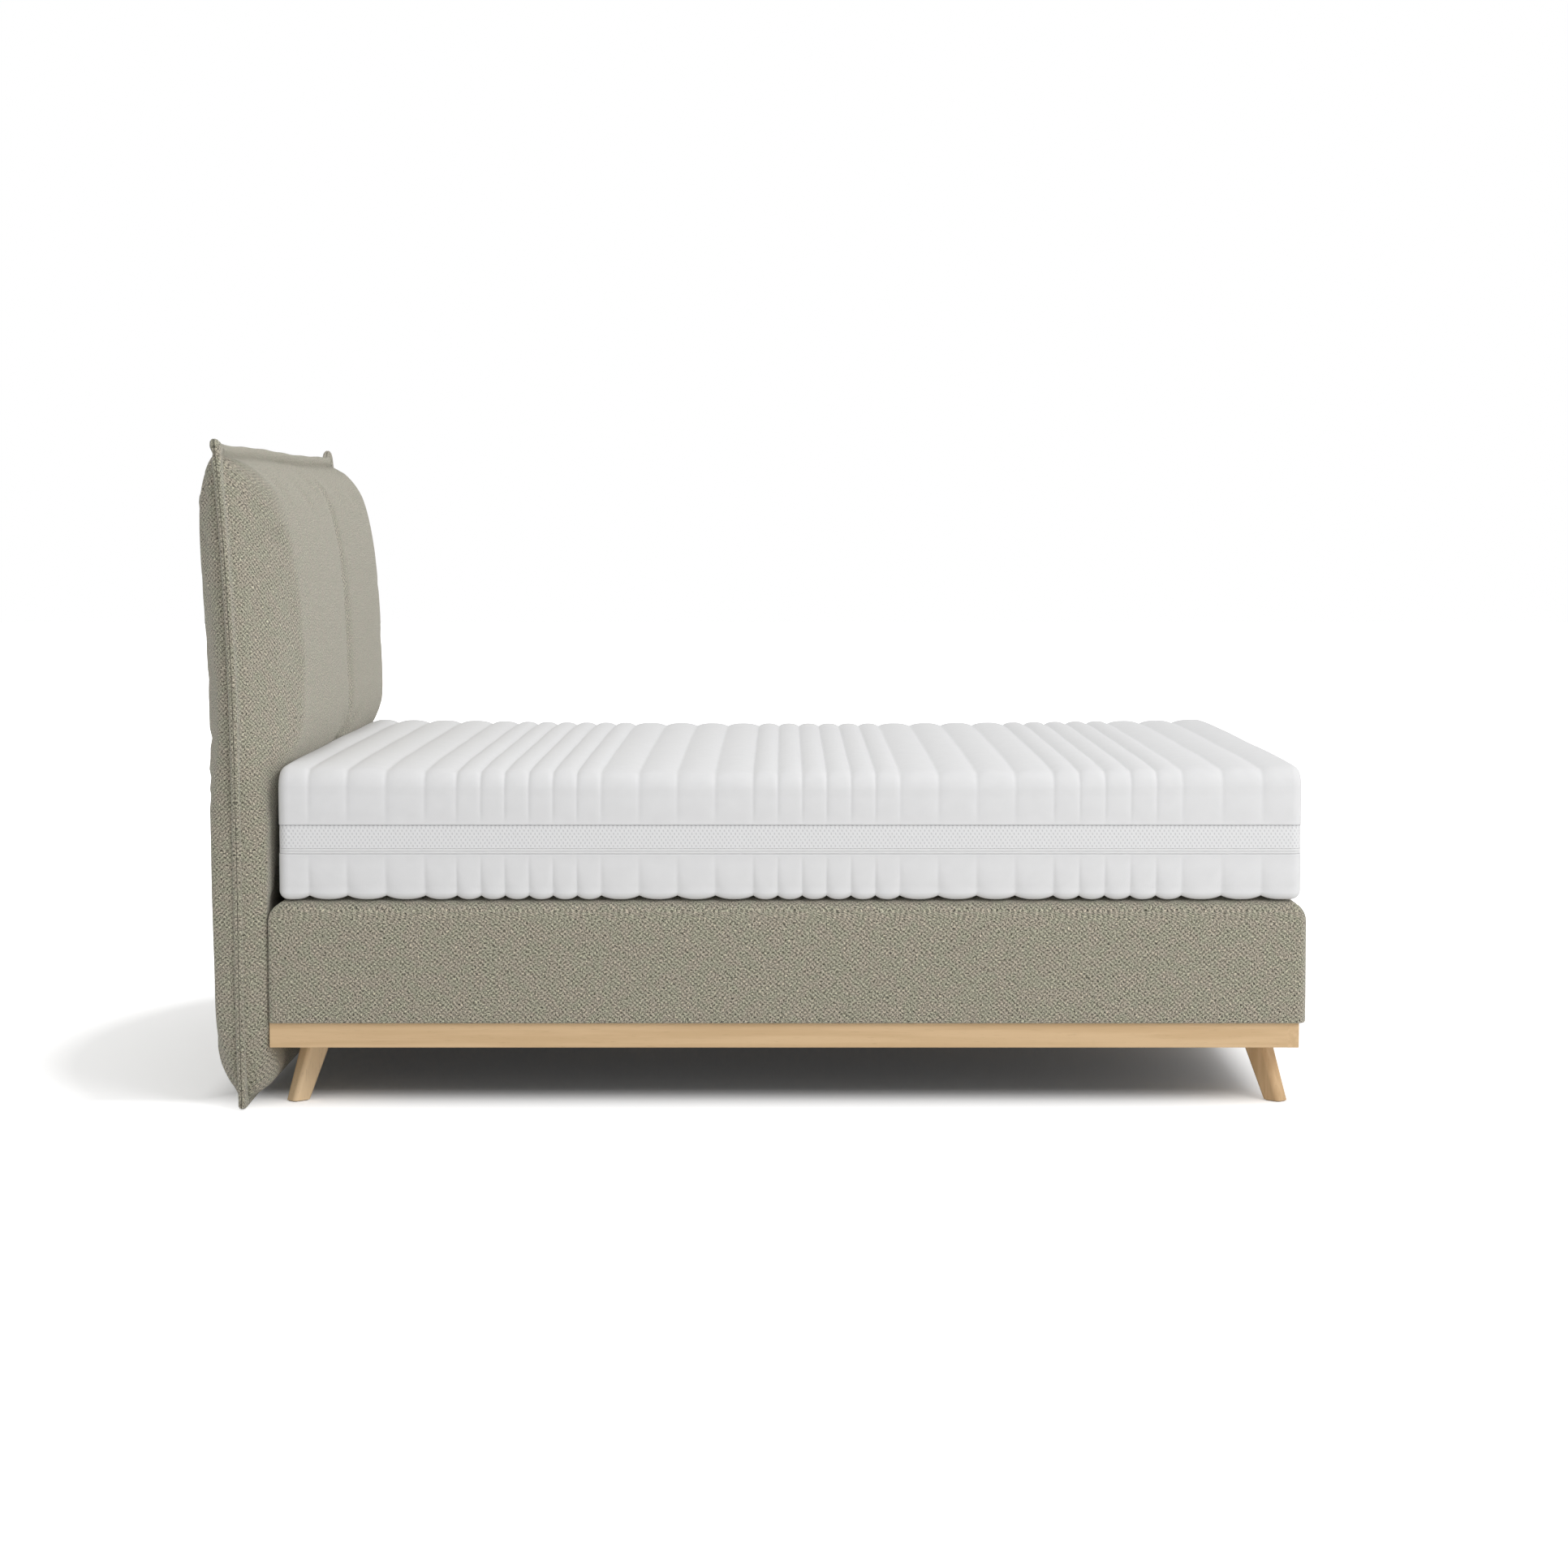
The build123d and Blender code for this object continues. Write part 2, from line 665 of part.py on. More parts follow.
def pillow(inset):
    """The whole pillow, drawn in by an inset on every side."""
    bottom = pillow_bottom + inset
    span = pillow_height - 2 * inset
    sections = []
    levels = zip(level_shares, front_shares, back_shares, width_shares)
    for level_share, front_share, back_share, width_share in levels:
        height = bottom + level_share * span
        half = width_share * pillow_width / 2 - inset
        front = front_share * front_depth - inset
        back = back_share * back_depth - inset
        valley = front * valley_depth / front_depth
        crown = back * back_crown / back_depth
        fore_run = side_run * front
        aft_run = side_run * back
        with BuildSketch(Plane((seam_x(height), 0, height))) as section:
            with BuildLine():
                for side in (-1, 1):
                    fore = (front - valley, side * (half - fore_run))
                    aft = (-back, side * (half - aft_run))
                    seam = (0, side * half)
                    bend = math.sin(math.radians(45))
                    fore_bend = (bend * fore[0], side * (half - (1 - bend) * fore_run))
                    aft_bend = (bend * aft[0], side * (half - (1 - bend) * aft_run))
                    ThreePointArc(seam, fore_bend, fore)
                    ThreePointArc(fore, (front, fore[1] / 2), (front - valley, 0))
                    ThreePointArc(seam, aft_bend, aft)
                aft_far = half - aft_run
                ThreePointArc((-back, -aft_far), (-back - crown, 0), (-back, aft_far))
            make_face()
        sections.append(section.sketch)
    loft(sections)


def seam_strip(near, far, half_width):
    """A sheet along the leaning seam, between two distances in front of it."""
    top = headboard_height + overrun
    with BuildSketch(Plane.XZ) as strip:
        with BuildLine():
            rails = []
            for step in (near, far):
                places = [(seam_x(height) + step, height) for height in (0, top / 2, top)]
                ThreePointArc(*places)
                rails.append(places)
            Line(rails[0][0], rails[1][0])
            Line(rails[0][2], rails[1][2])
        make_face()
    extrude(strip.sketch, amount=half_width, both=True)


def flange_outline():
    """The seam flange seen from the foot, with its four ears and its drawn-in sides."""
    half = headboard_width / 2
    middle = headboard_height / 2
    ears = [(-half, flange_floor_gap), (half, flange_floor_gap)]
    ears += [(half, headboard_height), (-half, headboard_height)]
    with BuildLine() as outline:
        ThreePointArc(ears[0], (0, flange_floor_gap + flange_side_dip), ears[1])
        ThreePointArc(ears[1], (half - flange_side_dip, middle), ears[2])
        ThreePointArc(ears[2], (0, headboard_height - flange_top_dip), ears[3])
        ThreePointArc(ears[3], (-half + flange_side_dip, middle), ears[0])
    make_face(outline.line)


with BuildPart() as pillow_outside:
    pillow(0)
with BuildPart() as pillow_inside:
    pillow(pillow_cover)
with BuildPart() as pillow_filling:
    pillow(pillow_cover + soft_gap)

cover_reach = 2 * headboard_reach
for face_name, facing in (("front", 1), ("back", -1)):
    with BuildPart() as flange:
        seam_strip(facing * seam_gap / 2, facing * (seam_gap / 2 + flange_ply), headboard_width / 2)
        with BuildSketch(Plane.YZ.offset(head_x - cover_reach)):
            flange_outline()
        extrude(amount=2 * cover_reach, mode=Mode.INTERSECT)
    with BuildPart() as headboard_cover:
        seam_strip(facing * seam_gap / 2, facing * cover_reach, headboard_width / 2)
        add(pillow_outside.part, mode=Mode.INTERSECT)
        add(flange.part)
        add(pillow_inside.part, mode=Mode.SUBTRACT)
        if facing > 0:
            for bolt_y, bolt_z in headboard_bolt_places():
                hole = Plane(origin=(panel_x, bolt_y, bolt_z), z_dir=(1, 0, 0))
                rod(hole, bolt_diameter + 2 * bolt_gap, panel_front, Mode.SUBTRACT)
    headboard_cover.part.label = f"headboard_cover_{face_name}"
    export_step(headboard_cover.part, f"parts/headboard_cover_{face_name}.step")

with BuildPart() as headboard_foam_front:
    add(pillow_filling.part)
    split(bisect_by=Plane(origin=(panel_x, 0, 0), z_dir=(1, 0, 0)), keep=Keep.TOP)
    for bolt_y, bolt_z in headboard_bolt_places():
        hole = Plane(origin=(panel_x, bolt_y, bolt_z), z_dir=(1, 0, 0))
        rod(hole, bolt_diameter + 2 * bolt_gap, panel_front, Mode.SUBTRACT)
headboard_foam_front.part.label = "headboard_foam_front"
export_step(headboard_foam_front.part, "parts/headboard_foam_front.step")

with BuildPart() as headboard_foam_back:
    add(pillow_filling.part)
    split(bisect_by=Plane(origin=(panel_x, 0, 0), z_dir=(1, 0, 0)), keep=Keep.BOTTOM)
    frame_half_width = frame_width / 2
    frame_span = (frame_bottom, frame_top)
    block((post_back_x, panel_x), (-frame_half_width, frame_half_width), frame_span, Mode.SUBTRACT)
headboard_foam_back.part.label = "headboard_foam_back"
export_step(headboard_foam_back.part, "parts/headboard_foam_back.step")

# Mattress levels
mattress_x = (head_x + mattress_head_gap, head_x + mattress_head_gap + mattress_length)
mattress_half = mattress_width / 2
mattress_top = mattress_base + mattress_height
tape_base = mattress_base + bottom_cover_height
band_base = tape_base + tape_height
band_top = band_base + band_height
core_x = (mattress_x[0] + quilt_wall, mattress_x[1] - quilt_wall)
core_half = mattress_half - quilt_wall
core_span = (mattress_base + quilt_wall, mattress_top - core_top_drop)


def channel_joints():
    """The places along the mattress where one quilted channel meets the next."""
    unit = mattress_length / sum(channel_shares)
    joints = [mattress_x[0]]
    for share in channel_shares:
        joints.append(joints[-1] + share * unit)
    return joints


def quilt_section():
    """The quilted layer seen along its run: an arc for each channel, rounded off at both ends."""
    joints = channel_joints()
    bend = (1 - math.sin(math.radians(45))) * quilt_depth
    head_end = joints[0]
    foot_end = joints[-1]
    with BuildLine() as outline:
        ThreePointArc((head_end, quilt_depth), (head_end + bend, bend), (head_end + quilt_depth, 0))
        Line((head_end + quilt_depth, 0), (joints[1], quilt_groove))
        for left, right in zip(joints[1:-2], joints[2:-1]):
            ThreePointArc((left, quilt_groove), ((left + right) / 2, 0), (right, quilt_groove))
        Line((joints[-2], quilt_groove), (foot_end - quilt_depth, 0))
        ThreePointArc((foot_end - quilt_depth, 0), (foot_end - bend, bend), (foot_end, quilt_depth))
        Line((foot_end, quilt_depth), (head_end, quilt_depth))
    make_face(outline.line)


def wrap_line(inset, facing, seam_z, face_z, corner, sink):
    """The way round one side of the mattress: up or down one side, across the face, and back."""
    half = mattress_half - inset
    radius = corner - inset
    face = face_z - facing * inset
    centre_y = half - radius
    centre_z = face - facing * radius
    tip = 2 * math.atan(sink / centre_y)
    start = facing * -1
    for side in (start, -start):
        turn = math.pi / 2 + tip
        foot = (side * half, centre_z)
        middle = (
            side * (centre_y + radius * math.cos(turn / 2)),
            centre_z + facing * radius * math.sin(turn / 2),
        )
        shoulder = (
            side * (centre_y + radius * math.cos(turn)),
            centre_z + facing * radius * math.sin(turn),
        )
        mirrored = (-shoulder[0], shoulder[1])
        if side == start:
            Line((side * half, seam_z), foot)
            ThreePointArc(foot, middle, shoulder)
            if sink:
                ThreePointArc(shoulder, (0, face - facing * sink), mirrored)
            else:
                Line(shoulder, mirrored)
        else:
            ThreePointArc(shoulder, middle, foot)
            Line(foot, (side * half, seam_z))


for cover_name, facing, seam_z, face_z, corner, sink in (
    ("top", 1, band_top, mattress_top, top_corner, top_sink),
    ("bottom", -1, tape_base, mattress_base, bottom_corner, 0),
):
    with BuildPart() as mattress_cover:
        with BuildLine(Plane.YZ) as wrap:
            wrap_line(0, facing, seam_z, face_z, corner, sink)
        start = (0, -facing * mattress_half, seam_z)
        with BuildSketch(Plane(origin=start, x_dir=(1, 0, 0), z_dir=(0, 0, facing))):
            quilt_section()
        sweep(path=wrap.line)
        with BuildSketch(Plane.YZ.offset(mattress_x[0])):
            with BuildLine():
                wrap_line(quilt_depth, facing, seam_z, face_z, corner, sink)
                inner = mattress_half - quilt_depth
                Line((-inner, seam_z), (inner, seam_z))
            make_face()
        extrude(amount=mattress_length)
        z_span = (core_span[0], seam_z) if facing < 0 else (seam_z, core_span[1])
        block(core_x, (-core_half, core_half), z_span, Mode.SUBTRACT)
    mattress_cover.part.label = f"mattress_cover_{cover_name}"
    export_step(mattress_cover.part, f"parts/mattress_cover_{cover_name}.step")

# Mattress core: a foam block with cuts across it under every other channel seam
with BuildPart() as mattress_core:
    block(core_x, (-core_half, core_half), core_span)
    for joint in channel_joints()[2:-2:2]:
        cut_x = (joint - core_cut_width / 2, joint + core_cut_width / 2)
        lower = (core_span[0], core_span[0] + core_cut_depth)
        upper = (core_span[1] - core_cut_depth, core_span[1])
        for cut_z in (lower, upper):
            block(cut_x, (-core_half, core_half), cut_z, Mode.SUBTRACT)
mattress_core.part.label = "mattress_core"
export_step(mattress_core.part, "parts/mattress_core.step")


def band_ring(recess, z_span):
    """A ring round the core, set back from the quilted covers."""
    middle_x = sum(mattress_x) / 2
    with BuildSketch(Plane((middle_x, 0, z_span[0]))) as ring:
        RectangleRounded(mattress_length - 2 * recess, mattress_width - 2 * recess, band_corner)
        Rectangle(core_x[1] - core_x[0], 2 * core_half, mode=Mode.SUBTRACT)
    extrude(ring.sketch, amount=z_span[1] - z_span[0])


with BuildPart() as mattress_border_band:
    band_ring(band_recess, (band_base, band_top))
mattress_border_band.part.label = "mattress_border_band"
export_step(mattress_border_band.part, "parts/mattress_border_band.step")

with BuildPart() as zip_tape:
    band_ring(tape_recess, (tape_base, band_base))
zip_tape.part.label = "zip_tape"
export_step(zip_tape.part, "parts/zip_tape.step")

# Zip chain: a raised bead round the tape, with the slider and its pull on it at the foot
tape_x = (mattress_x[0] + tape_recess, mattress_x[1] - tape_recess)
tape_half = mattress_half - tape_recess
chain_z = (tape_base + band_base - chain_height) / 2
with BuildPart() as zip_chain:
    middle_x = sum(mattress_x) / 2
    with BuildSketch(Plane((middle_x, 0, chain_z))):
        RectangleRounded(
            tape_x[1] - tape_x[0] + 2 * chain_proud, 2 * (tape_half + chain_proud), band_corner
        )
        RectangleRounded(tape_x[1] - tape_x[0], 2 * tape_half, band_corner, mode=Mode.SUBTRACT)
    extrude(amount=chain_height)
zip_chain.part.label = "zip_chain"
export_step(zip_chain.part, "parts/zip_chain.step")

slider_y = mattress_half - slider_inset
slider_base_x = tape_x[1] + slide_gap
slider_face_x = tape_x[1] + chain_proud + slide_gap + slider_wall
slider_mid_z = chain_z + chain_height / 2
pull_eye = pin_diameter + 2 * (slide_gap + pull_eye_wall)
pin_x = slider_face_x + slide_gap + pull_eye / 2
lug_x = (slider_face_x - slider_wall, pin_x + pin_diameter)
cheek_inside = pull_height / 2 + slide_gap
with BuildPart() as zip_slider:
    y_span = (slider_y - slider_width / 2, slider_y + slider_width / 2)
    z_span = (slider_mid_z - slider_height / 2, slider_mid_z + slider_height / 2)
    block((slider_base_x, slider_face_x), y_span, z_span)
    slot_half = chain_height / 2 + slide_gap
    slot_z = (slider_mid_z - slot_half, slider_mid_z + slot_half)
    block((slider_base_x, slider_face_x - slider_wall), y_span, slot_z, Mode.SUBTRACT)
    for cheek in (-1, 1):
        cheek_outside = cheek_inside + lug_cheek
        cheek_z = sorted((slider_mid_z + cheek * cheek_inside, slider_mid_z + cheek * cheek_outside))
        lug_y = (slider_y - lug_width / 2, slider_y + lug_width / 2)
        block(lug_x, lug_y, cheek_z)
    pin_foot = Plane((pin_x, slider_y, slider_mid_z - cheek_inside))
    rod(pin_foot, pin_diameter, 2 * cheek_inside)
zip_slider.part.label = "zip_slider"
export_step(zip_slider.part, "parts/zip_slider.step")

with BuildPart() as zip_pull:
    with BuildSketch(Plane((pin_x, slider_y, slider_mid_z - pull_height / 2))):
        Circle(pull_eye / 2)
        with Locations((0, -pull_length / 2)):
            Rectangle(pull_thickness, pull_length)
        Circle(pin_diameter / 2 + slide_gap, mode=Mode.SUBTRACT)
    extrude(amount=pull_height)
    grip_y = slider_y - pull_length + pull_height / 2
    grip = Plane(origin=(pin_x - pull_thickness / 2, grip_y, slider_mid_z), z_dir=(1, 0, 0))
    rod(grip, pull_hole, pull_thickness, Mode.SUBTRACT)
zip_pull.part.label = "zip_pull"
export_step(zip_pull.part, "parts/zip_pull.step")
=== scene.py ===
import math

import bmesh
import bpy
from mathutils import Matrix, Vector, noise


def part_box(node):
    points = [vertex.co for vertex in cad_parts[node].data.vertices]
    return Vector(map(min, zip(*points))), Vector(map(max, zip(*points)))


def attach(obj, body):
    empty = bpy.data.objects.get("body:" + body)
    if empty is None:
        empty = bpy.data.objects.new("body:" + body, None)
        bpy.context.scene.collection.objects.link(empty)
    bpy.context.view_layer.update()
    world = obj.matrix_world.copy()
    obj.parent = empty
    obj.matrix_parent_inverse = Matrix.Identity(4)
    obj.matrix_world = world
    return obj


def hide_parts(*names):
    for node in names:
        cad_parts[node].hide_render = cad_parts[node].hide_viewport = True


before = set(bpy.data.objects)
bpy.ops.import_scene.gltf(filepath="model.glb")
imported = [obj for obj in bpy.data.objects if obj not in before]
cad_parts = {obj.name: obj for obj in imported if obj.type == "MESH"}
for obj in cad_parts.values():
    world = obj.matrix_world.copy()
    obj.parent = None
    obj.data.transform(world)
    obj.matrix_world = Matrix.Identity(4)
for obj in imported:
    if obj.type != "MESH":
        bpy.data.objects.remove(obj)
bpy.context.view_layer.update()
scene = bpy.context.scene

# Sizes in metres, as the construction has them
head_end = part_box("box_cover")[0].x
box_foot_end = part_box("box_cover")[1].x
box_half = 0.81
box_base = 0.171
box_top = 0.4145
headboard_top = 1.309
ear_half = 0.825
mattress_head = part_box("mattress_cover_top")[0].x
mattress_foot = mattress_head + 2.0
mattress_half = 0.8
mattress_base = 0.4148
mattress_top = 0.6708
zip_base = 0.5038
band_base = 0.5138
band_top = 0.5598

# Headboard: share of the height, and at that level the depth in front, behind and the half width
level_shares = [
    -0.004, 0.017, 0.045, 0.07, 0.09, 0.13, 0.2, 0.32, 0.43, 0.51,
    0.545, 0.58, 0.66, 0.75, 0.85, 0.92, 0.962, 0.985, 1, 1.006
]
front_depths = [
    0.009, 0.047, 0.062, 0.0575, 0.0522, 0.0518, 0.0522, 0.0532, 0.0615, 0.079,
    0.109, 0.1235, 0.128, 0.129, 0.1225, 0.1075, 0.087, 0.065, 0.039, 0.009
]
back_depths = [
    0.009, 0.024, 0.041, 0.047, 0.05, 0.0535, 0.0545, 0.056, 0.0555, 0.0555,
    0.0555, 0.0545, 0.0515, 0.05, 0.0495, 0.0465, 0.039, 0.028, 0.016, 0.009
]
run_shares = [
    1.2, 1.2, 1.1, 0.8, 0.5, 0.32, 0.28, 0.28, 0.45, 0.9,
    1.3, 1.5, 1.55, 1.55, 1.55, 1.55, 1.5, 1.5, 1.5, 1.3
]
half_widths = [
    0.782, 0.793, 0.802, 0.807, 0.81, 0.812, 0.812, 0.811, 0.808, 0.804,
    0.803, 0.803, 0.803, 0.804, 0.805, 0.804, 0.799, 0.792, 0.786, 0.784
]

# Mattress: widths of the quilted channels from head to foot, as shares of the whole
channel_shares = (
    [1.25, 1.57, 1.59, 1.6, 1.3]
    + [0.985] * 6
    + [1.56] * 4
    + [1] * 6
    + [1.575] * 4
    + [1.05] * 5
    + [1.635] * 3
)


# Shader sums and nodes

class Signal:
    """A socket that Python's own sums can be written on."""

    def __init__(self, bench, socket):
        self.bench = bench
        self.socket = socket

    def combine(self, operation, *values):
        return self.bench.node("Math", {"operation": operation}, dict(enumerate(values)))

    def __add__(self, other):
        return self.combine("ADD", self, other)

    def __radd__(self, other):
        return self.combine("ADD", other, self)

    def __sub__(self, other):
        return self.combine("SUBTRACT", self, other)

    def __rsub__(self, other):
        return self.combine("SUBTRACT", other, self)

    def __mul__(self, other):
        return self.combine("MULTIPLY", self, other)

    def __rmul__(self, other):
        return self.combine("MULTIPLY", other, self)

    def at_least(self, other):
        return self.combine("MAXIMUM", self, other)

    def cosine(self):
        return self.combine("COSINE", self)


class Bench:
    """An empty node tree that nodes are set out on."""

    def __init__(self, tree):
        self.tree = tree
        self.tree.nodes.clear()

    def node(self, kind, settings, sockets, output=0):
        """Any node: its settings first, then the values or links of its sockets."""
        made = self.tree.nodes.new("ShaderNode" + kind)
        for setting, value in settings.items():
            setattr(made, setting, value)
        for name, value in sockets.items():
            self.feed(made.inputs[name], value)
        return Signal(self, made.outputs[output])

    def feed(self, socket, value):
        if isinstance(value, Signal):
            self.tree.links.new(value.socket, socket)
        else:
            socket.default_value = value


class Finish(Bench):
    """A procedural material that is put together from sums on its sockets."""

    def __init__(self, name):
        self.material = bpy.data.materials.new(name)
        self.material.use_nodes = True
        super().__init__(self.material.node_tree)
        self.surface = self.tree.nodes.new("ShaderNodeBsdfPrincipled")
        output = self.tree.nodes.new("ShaderNodeOutputMaterial")
        self.tree.links.new(self.surface.outputs[0], output.inputs[0])

    def set(self, **sockets):
        """Feeds the surface, with an underscore for a space in a socket's name."""
        for name, value in sockets.items():
            self.feed(self.surface.inputs[name.replace("_", " ")], value)

    def mix(self, share, first, second):
        """A colour between two others."""
        return self.node(
            "Mix", {"data_type": "RGBA"}, {0: share, 6: first, 7: second}, output=2
        )

    def scaled(self, vector, factors):
        return self.node("VectorMath", {"operation": "MULTIPLY"}, {0: vector, 1: factors})

    def moved(self, vector, shift):
        return self.node("VectorMath", {"operation": "ADD"}, {0: vector, 1: shift})

    def shaded(self, tone, shade):
        return self.node("VectorMath", {"operation": "SCALE"}, {0: tone, "Scale": shade})

    def span(self, value, low, high):
        """A value brought from between two limits to between 0 and 1, with soft ends."""
        sockets = {"Value": value, "From Min": low, "From Max": high}
        return self.node("MapRange", {"interpolation_type": "SMOOTHSTEP"}, sockets)

    def speckle(self, place, scale, detail=2.0, roughness=0.5):
        sockets = {"Vector": place, "Scale": scale, "Detail": detail, "Roughness": roughness}
        return self.node("TexNoise", {}, sockets)

    def relief(self, height, depth, strength=1.0):
        """Raises the surface by a height pattern that is depth deep, in metres."""
        sockets = {"Height": height, "Distance": depth, "Strength": strength}
        self.set(Normal=self.node("Bump", {}, sockets))


def colour(red, green, blue):
    return (red, green, blue, 1.0)


def cloth_place(finish):
    """Where a point lies on the cloth, in metres along and up the weave."""
    return finish.node("UVMap", {"uv_map": "cloth"}, {})


def object_place(finish):
    return finish.node("TexCoord", {}, {}, output=3)


def part_along(bench, place, axis):
    return bench.node("SeparateXYZ", {}, {0: place}, output="XYZ".index(axis))


def wave(finish, place, across, up=None):
    """A wave over the cloth with its pitches along and up the weave, in metres, from -1 to 1."""
    run = part_along(finish, place, "X") * (2 * math.pi / across)
    if up:
        run = run + part_along(finish, place, "Y") * (2 * math.pi / up)
    return run.cosine()


def upholstery_cloth():
    """A chunky basket weave: light slanting yarns, dark pits between them, two mottled tones."""
    yarn_pitch = 0.0104
    row_pitch = 0.0094
    wander = 0.008
    finish = Finish("upholstery_cloth")
    flat = cloth_place(finish)
    drift = finish.node("TexNoise", {}, {"Vector": flat, "Scale": 75.0, "Detail": 1.0}, output=1)
    centred = finish.moved(drift, (-0.5, -0.5, -0.5))
    place = finish.moved(flat, finish.scaled(centred, (wander, wander, 0.0)))
    slant = wave(finish, place, yarn_pitch, row_pitch)
    counter = wave(finish, place, yarn_pitch, -row_pitch)
    yarn = finish.speckle(place, 390.0, 1.0) - 0.5
    fibre = finish.speckle(place, 850.0, 1.0) - 0.5
    weave = slant * 0.5 + counter * 0.36 + yarn * 7.0 + fibre * 5.0
    patch = finish.span(finish.speckle(flat, 34.0, 1.0, 0.4), 0.38, 0.62)
    tone = finish.mix(patch, colour(0.362, 0.349, 0.268), colour(0.382, 0.347, 0.277))
    lit = finish.shaded(tone, (weave * 0.56 + 1.0).at_least(0.15))
    finish.set(Base_Color=lit, Roughness=0.92, Sheen_Weight=0.62, Sheen_Roughness=0.42)
    finish.set(Sheen_Tint=colour(0.95, 0.93, 0.86), Specular_IOR_Level=0.2)
    finish.relief(weave * 0.5 + 0.5, 0.001, 0.7)
    return finish.material


def quilt_cloth():
    """A white knitted cover with a fine rib and a soft bloom."""
    finish = Finish("quilt_cloth")
    place = cloth_place(finish)
    stitch_pitch = 0.0026
    rib_pitch = 0.0034
    slant = wave(finish, place, stitch_pitch, rib_pitch)
    counter = wave(finish, place, stitch_pitch, -rib_pitch)
    knit = (slant + counter) * 0.25 + 0.5
    bloom = finish.speckle(place, 30.0, 3.0, 0.6)
    tone = finish.mix(bloom, colour(0.748, 0.748, 0.752), colour(0.806, 0.806, 0.81))
    lit = finish.shaded(tone, 0.98 + knit * 0.02)
    finish.set(Base_Color=lit, Roughness=0.85, Sheen_Weight=0.15, Sheen_Roughness=0.5)
    finish.set(Specular_IOR_Level=0.25)
    finish.relief(knit * 0.5 + bloom * 0.8, 0.0004, 0.5)
    return finish.material


def mesh_cloth():
    """White spacer mesh with staggered rows of small openings."""
    finish = Finish("mesh_cloth")
    place = cloth_place(finish)
    hole_pitch = 0.0085
    row_pitch = 0.012
    lattice = wave(finish, place, hole_pitch, row_pitch) + wave(finish, place, hole_pitch, -row_pitch)
    opening = finish.span(lattice, 0.1, 1.7)
    fleck = finish.speckle(place, 700.0, 1.0)
    tone = finish.mix(opening, colour(0.81, 0.81, 0.815), colour(0.68, 0.68, 0.69))
    finish.set(Base_Color=tone, Roughness=0.8, Sheen_Weight=0.1, Specular_IOR_Level=0.25)
    finish.relief(1 - opening + fleck * 0.2, 0.0008, 0.8)
    return finish.material


def seam_thread():
    """The stitched line above the mesh: pale stitches with dark dips between them."""
    finish = Finish("seam_thread")
    stitch = finish.span(wave(finish, cloth_place(finish), 0.0085), -0.6, 0.3)
    tone = finish.mix(stitch, colour(0.46, 0.46, 0.47), colour(0.76, 0.76, 0.765))
    finish.set(Base_Color=tone, Roughness=0.8, Specular_IOR_Level=0.2)
    finish.relief(stitch, 0.0006, 0.8)
    return finish.material


def zip_tape_cloth():
    """The woven tape of the zip, with fine ribs across it."""
    finish = Finish("zip_tape_cloth")
    place = cloth_place(finish)
    rib = wave(finish, place, 0.0018) * 0.5 + 0.5
    fleck = finish.speckle(place, 500.0, 1.0)
    tone = finish.mix(rib, colour(0.81, 0.81, 0.812), colour(0.87, 0.87, 0.872))
    finish.set(Base_Color=tone, Roughness=0.75, Specular_IOR_Level=0.3)
    finish.relief(rib + fleck * 0.4, 0.0004, 0.7)
    return finish.material


def coil_plastic():
    """The zip's nylon coil: close turns across the chain."""
    finish = Finish("coil_plastic")
    turn = wave(finish, cloth_place(finish), 0.0015) * 0.5 + 0.5
    tone = finish.mix(turn, colour(0.79, 0.79, 0.795), colour(0.88, 0.88, 0.882))
    finish.set(Base_Color=tone, Roughness=0.45, Specular_IOR_Level=0.4)
    finish.relief(turn, 0.0006, 0.8)
    return finish.material


def timber(name, grain, light, dark, coarse=1.0, pale=None):
    """Sawn timber with its grain along one axis: fine pores, wide rings and a satin oil.

    A pale tone, if given, is painted light that lightens it toward the head end, where the legs stand
    in more shade.
    """
    finish = Finish(name)
    place = object_place(finish)
    stretch = {axis: 1.0 for axis in "XYZ"}
    stretch[grain] = 0.045
    run = finish.scaled(place, (stretch["X"], stretch["Y"], stretch["Z"]))
    warp = finish.scaled(finish.speckle(run, 9.0 * coarse), (0.012, 0.012, 0.012))
    rings = finish.speckle(finish.moved(run, warp), 70.0 * coarse, 3.0, 0.55)
    pores = finish.speckle(run, 620.0 * coarse, 2.0, 0.6)
    tone = finish.mix(finish.span(rings, 0.34, 0.66), light, dark)
    # The pale tone is painted light, blended in most at the head end.
    if pale:
        painted_light_headward = finish.span(part_along(finish, place, "X"), 0.5, -0.5)
        tone = finish.mix(painted_light_headward * 0.9, tone, pale)
    pit = finish.span(pores, 0.6, 0.74)
    deep = (dark[0] * 0.62, dark[1] * 0.58, dark[2] * 0.52, 1.0)
    finish.set(Base_Color=finish.mix(pit * 0.45, tone, deep))
    finish.set(Roughness=0.5 + rings * 0.16 + pit * 0.1, Specular_IOR_Level=0.35)
    finish.relief(1 - pit * 0.7 + rings * 0.25, 0.0003, 0.6)
    return finish.material


def plain_finish(name, light, dark, scale, rough, metal=0.0):
    """A plain finish with the small unevenness of its kind: foam cells, felt, cloth or cast metal."""
    finish = Finish(name)
    place = object_place(finish)
    grain = finish.speckle(place, scale, 3.0, 0.6)
    cloud = finish.speckle(place, 6.0)
    tone = finish.mix(finish.span(grain * 0.7 + cloud * 0.3, 0.35, 0.65), light, dark)
    finish.set(Base_Color=tone, Roughness=grain * 0.12 + (rough - 0.06), Metallic=metal)
    finish.relief(grain, 0.0004, 0.6)
    return finish.material


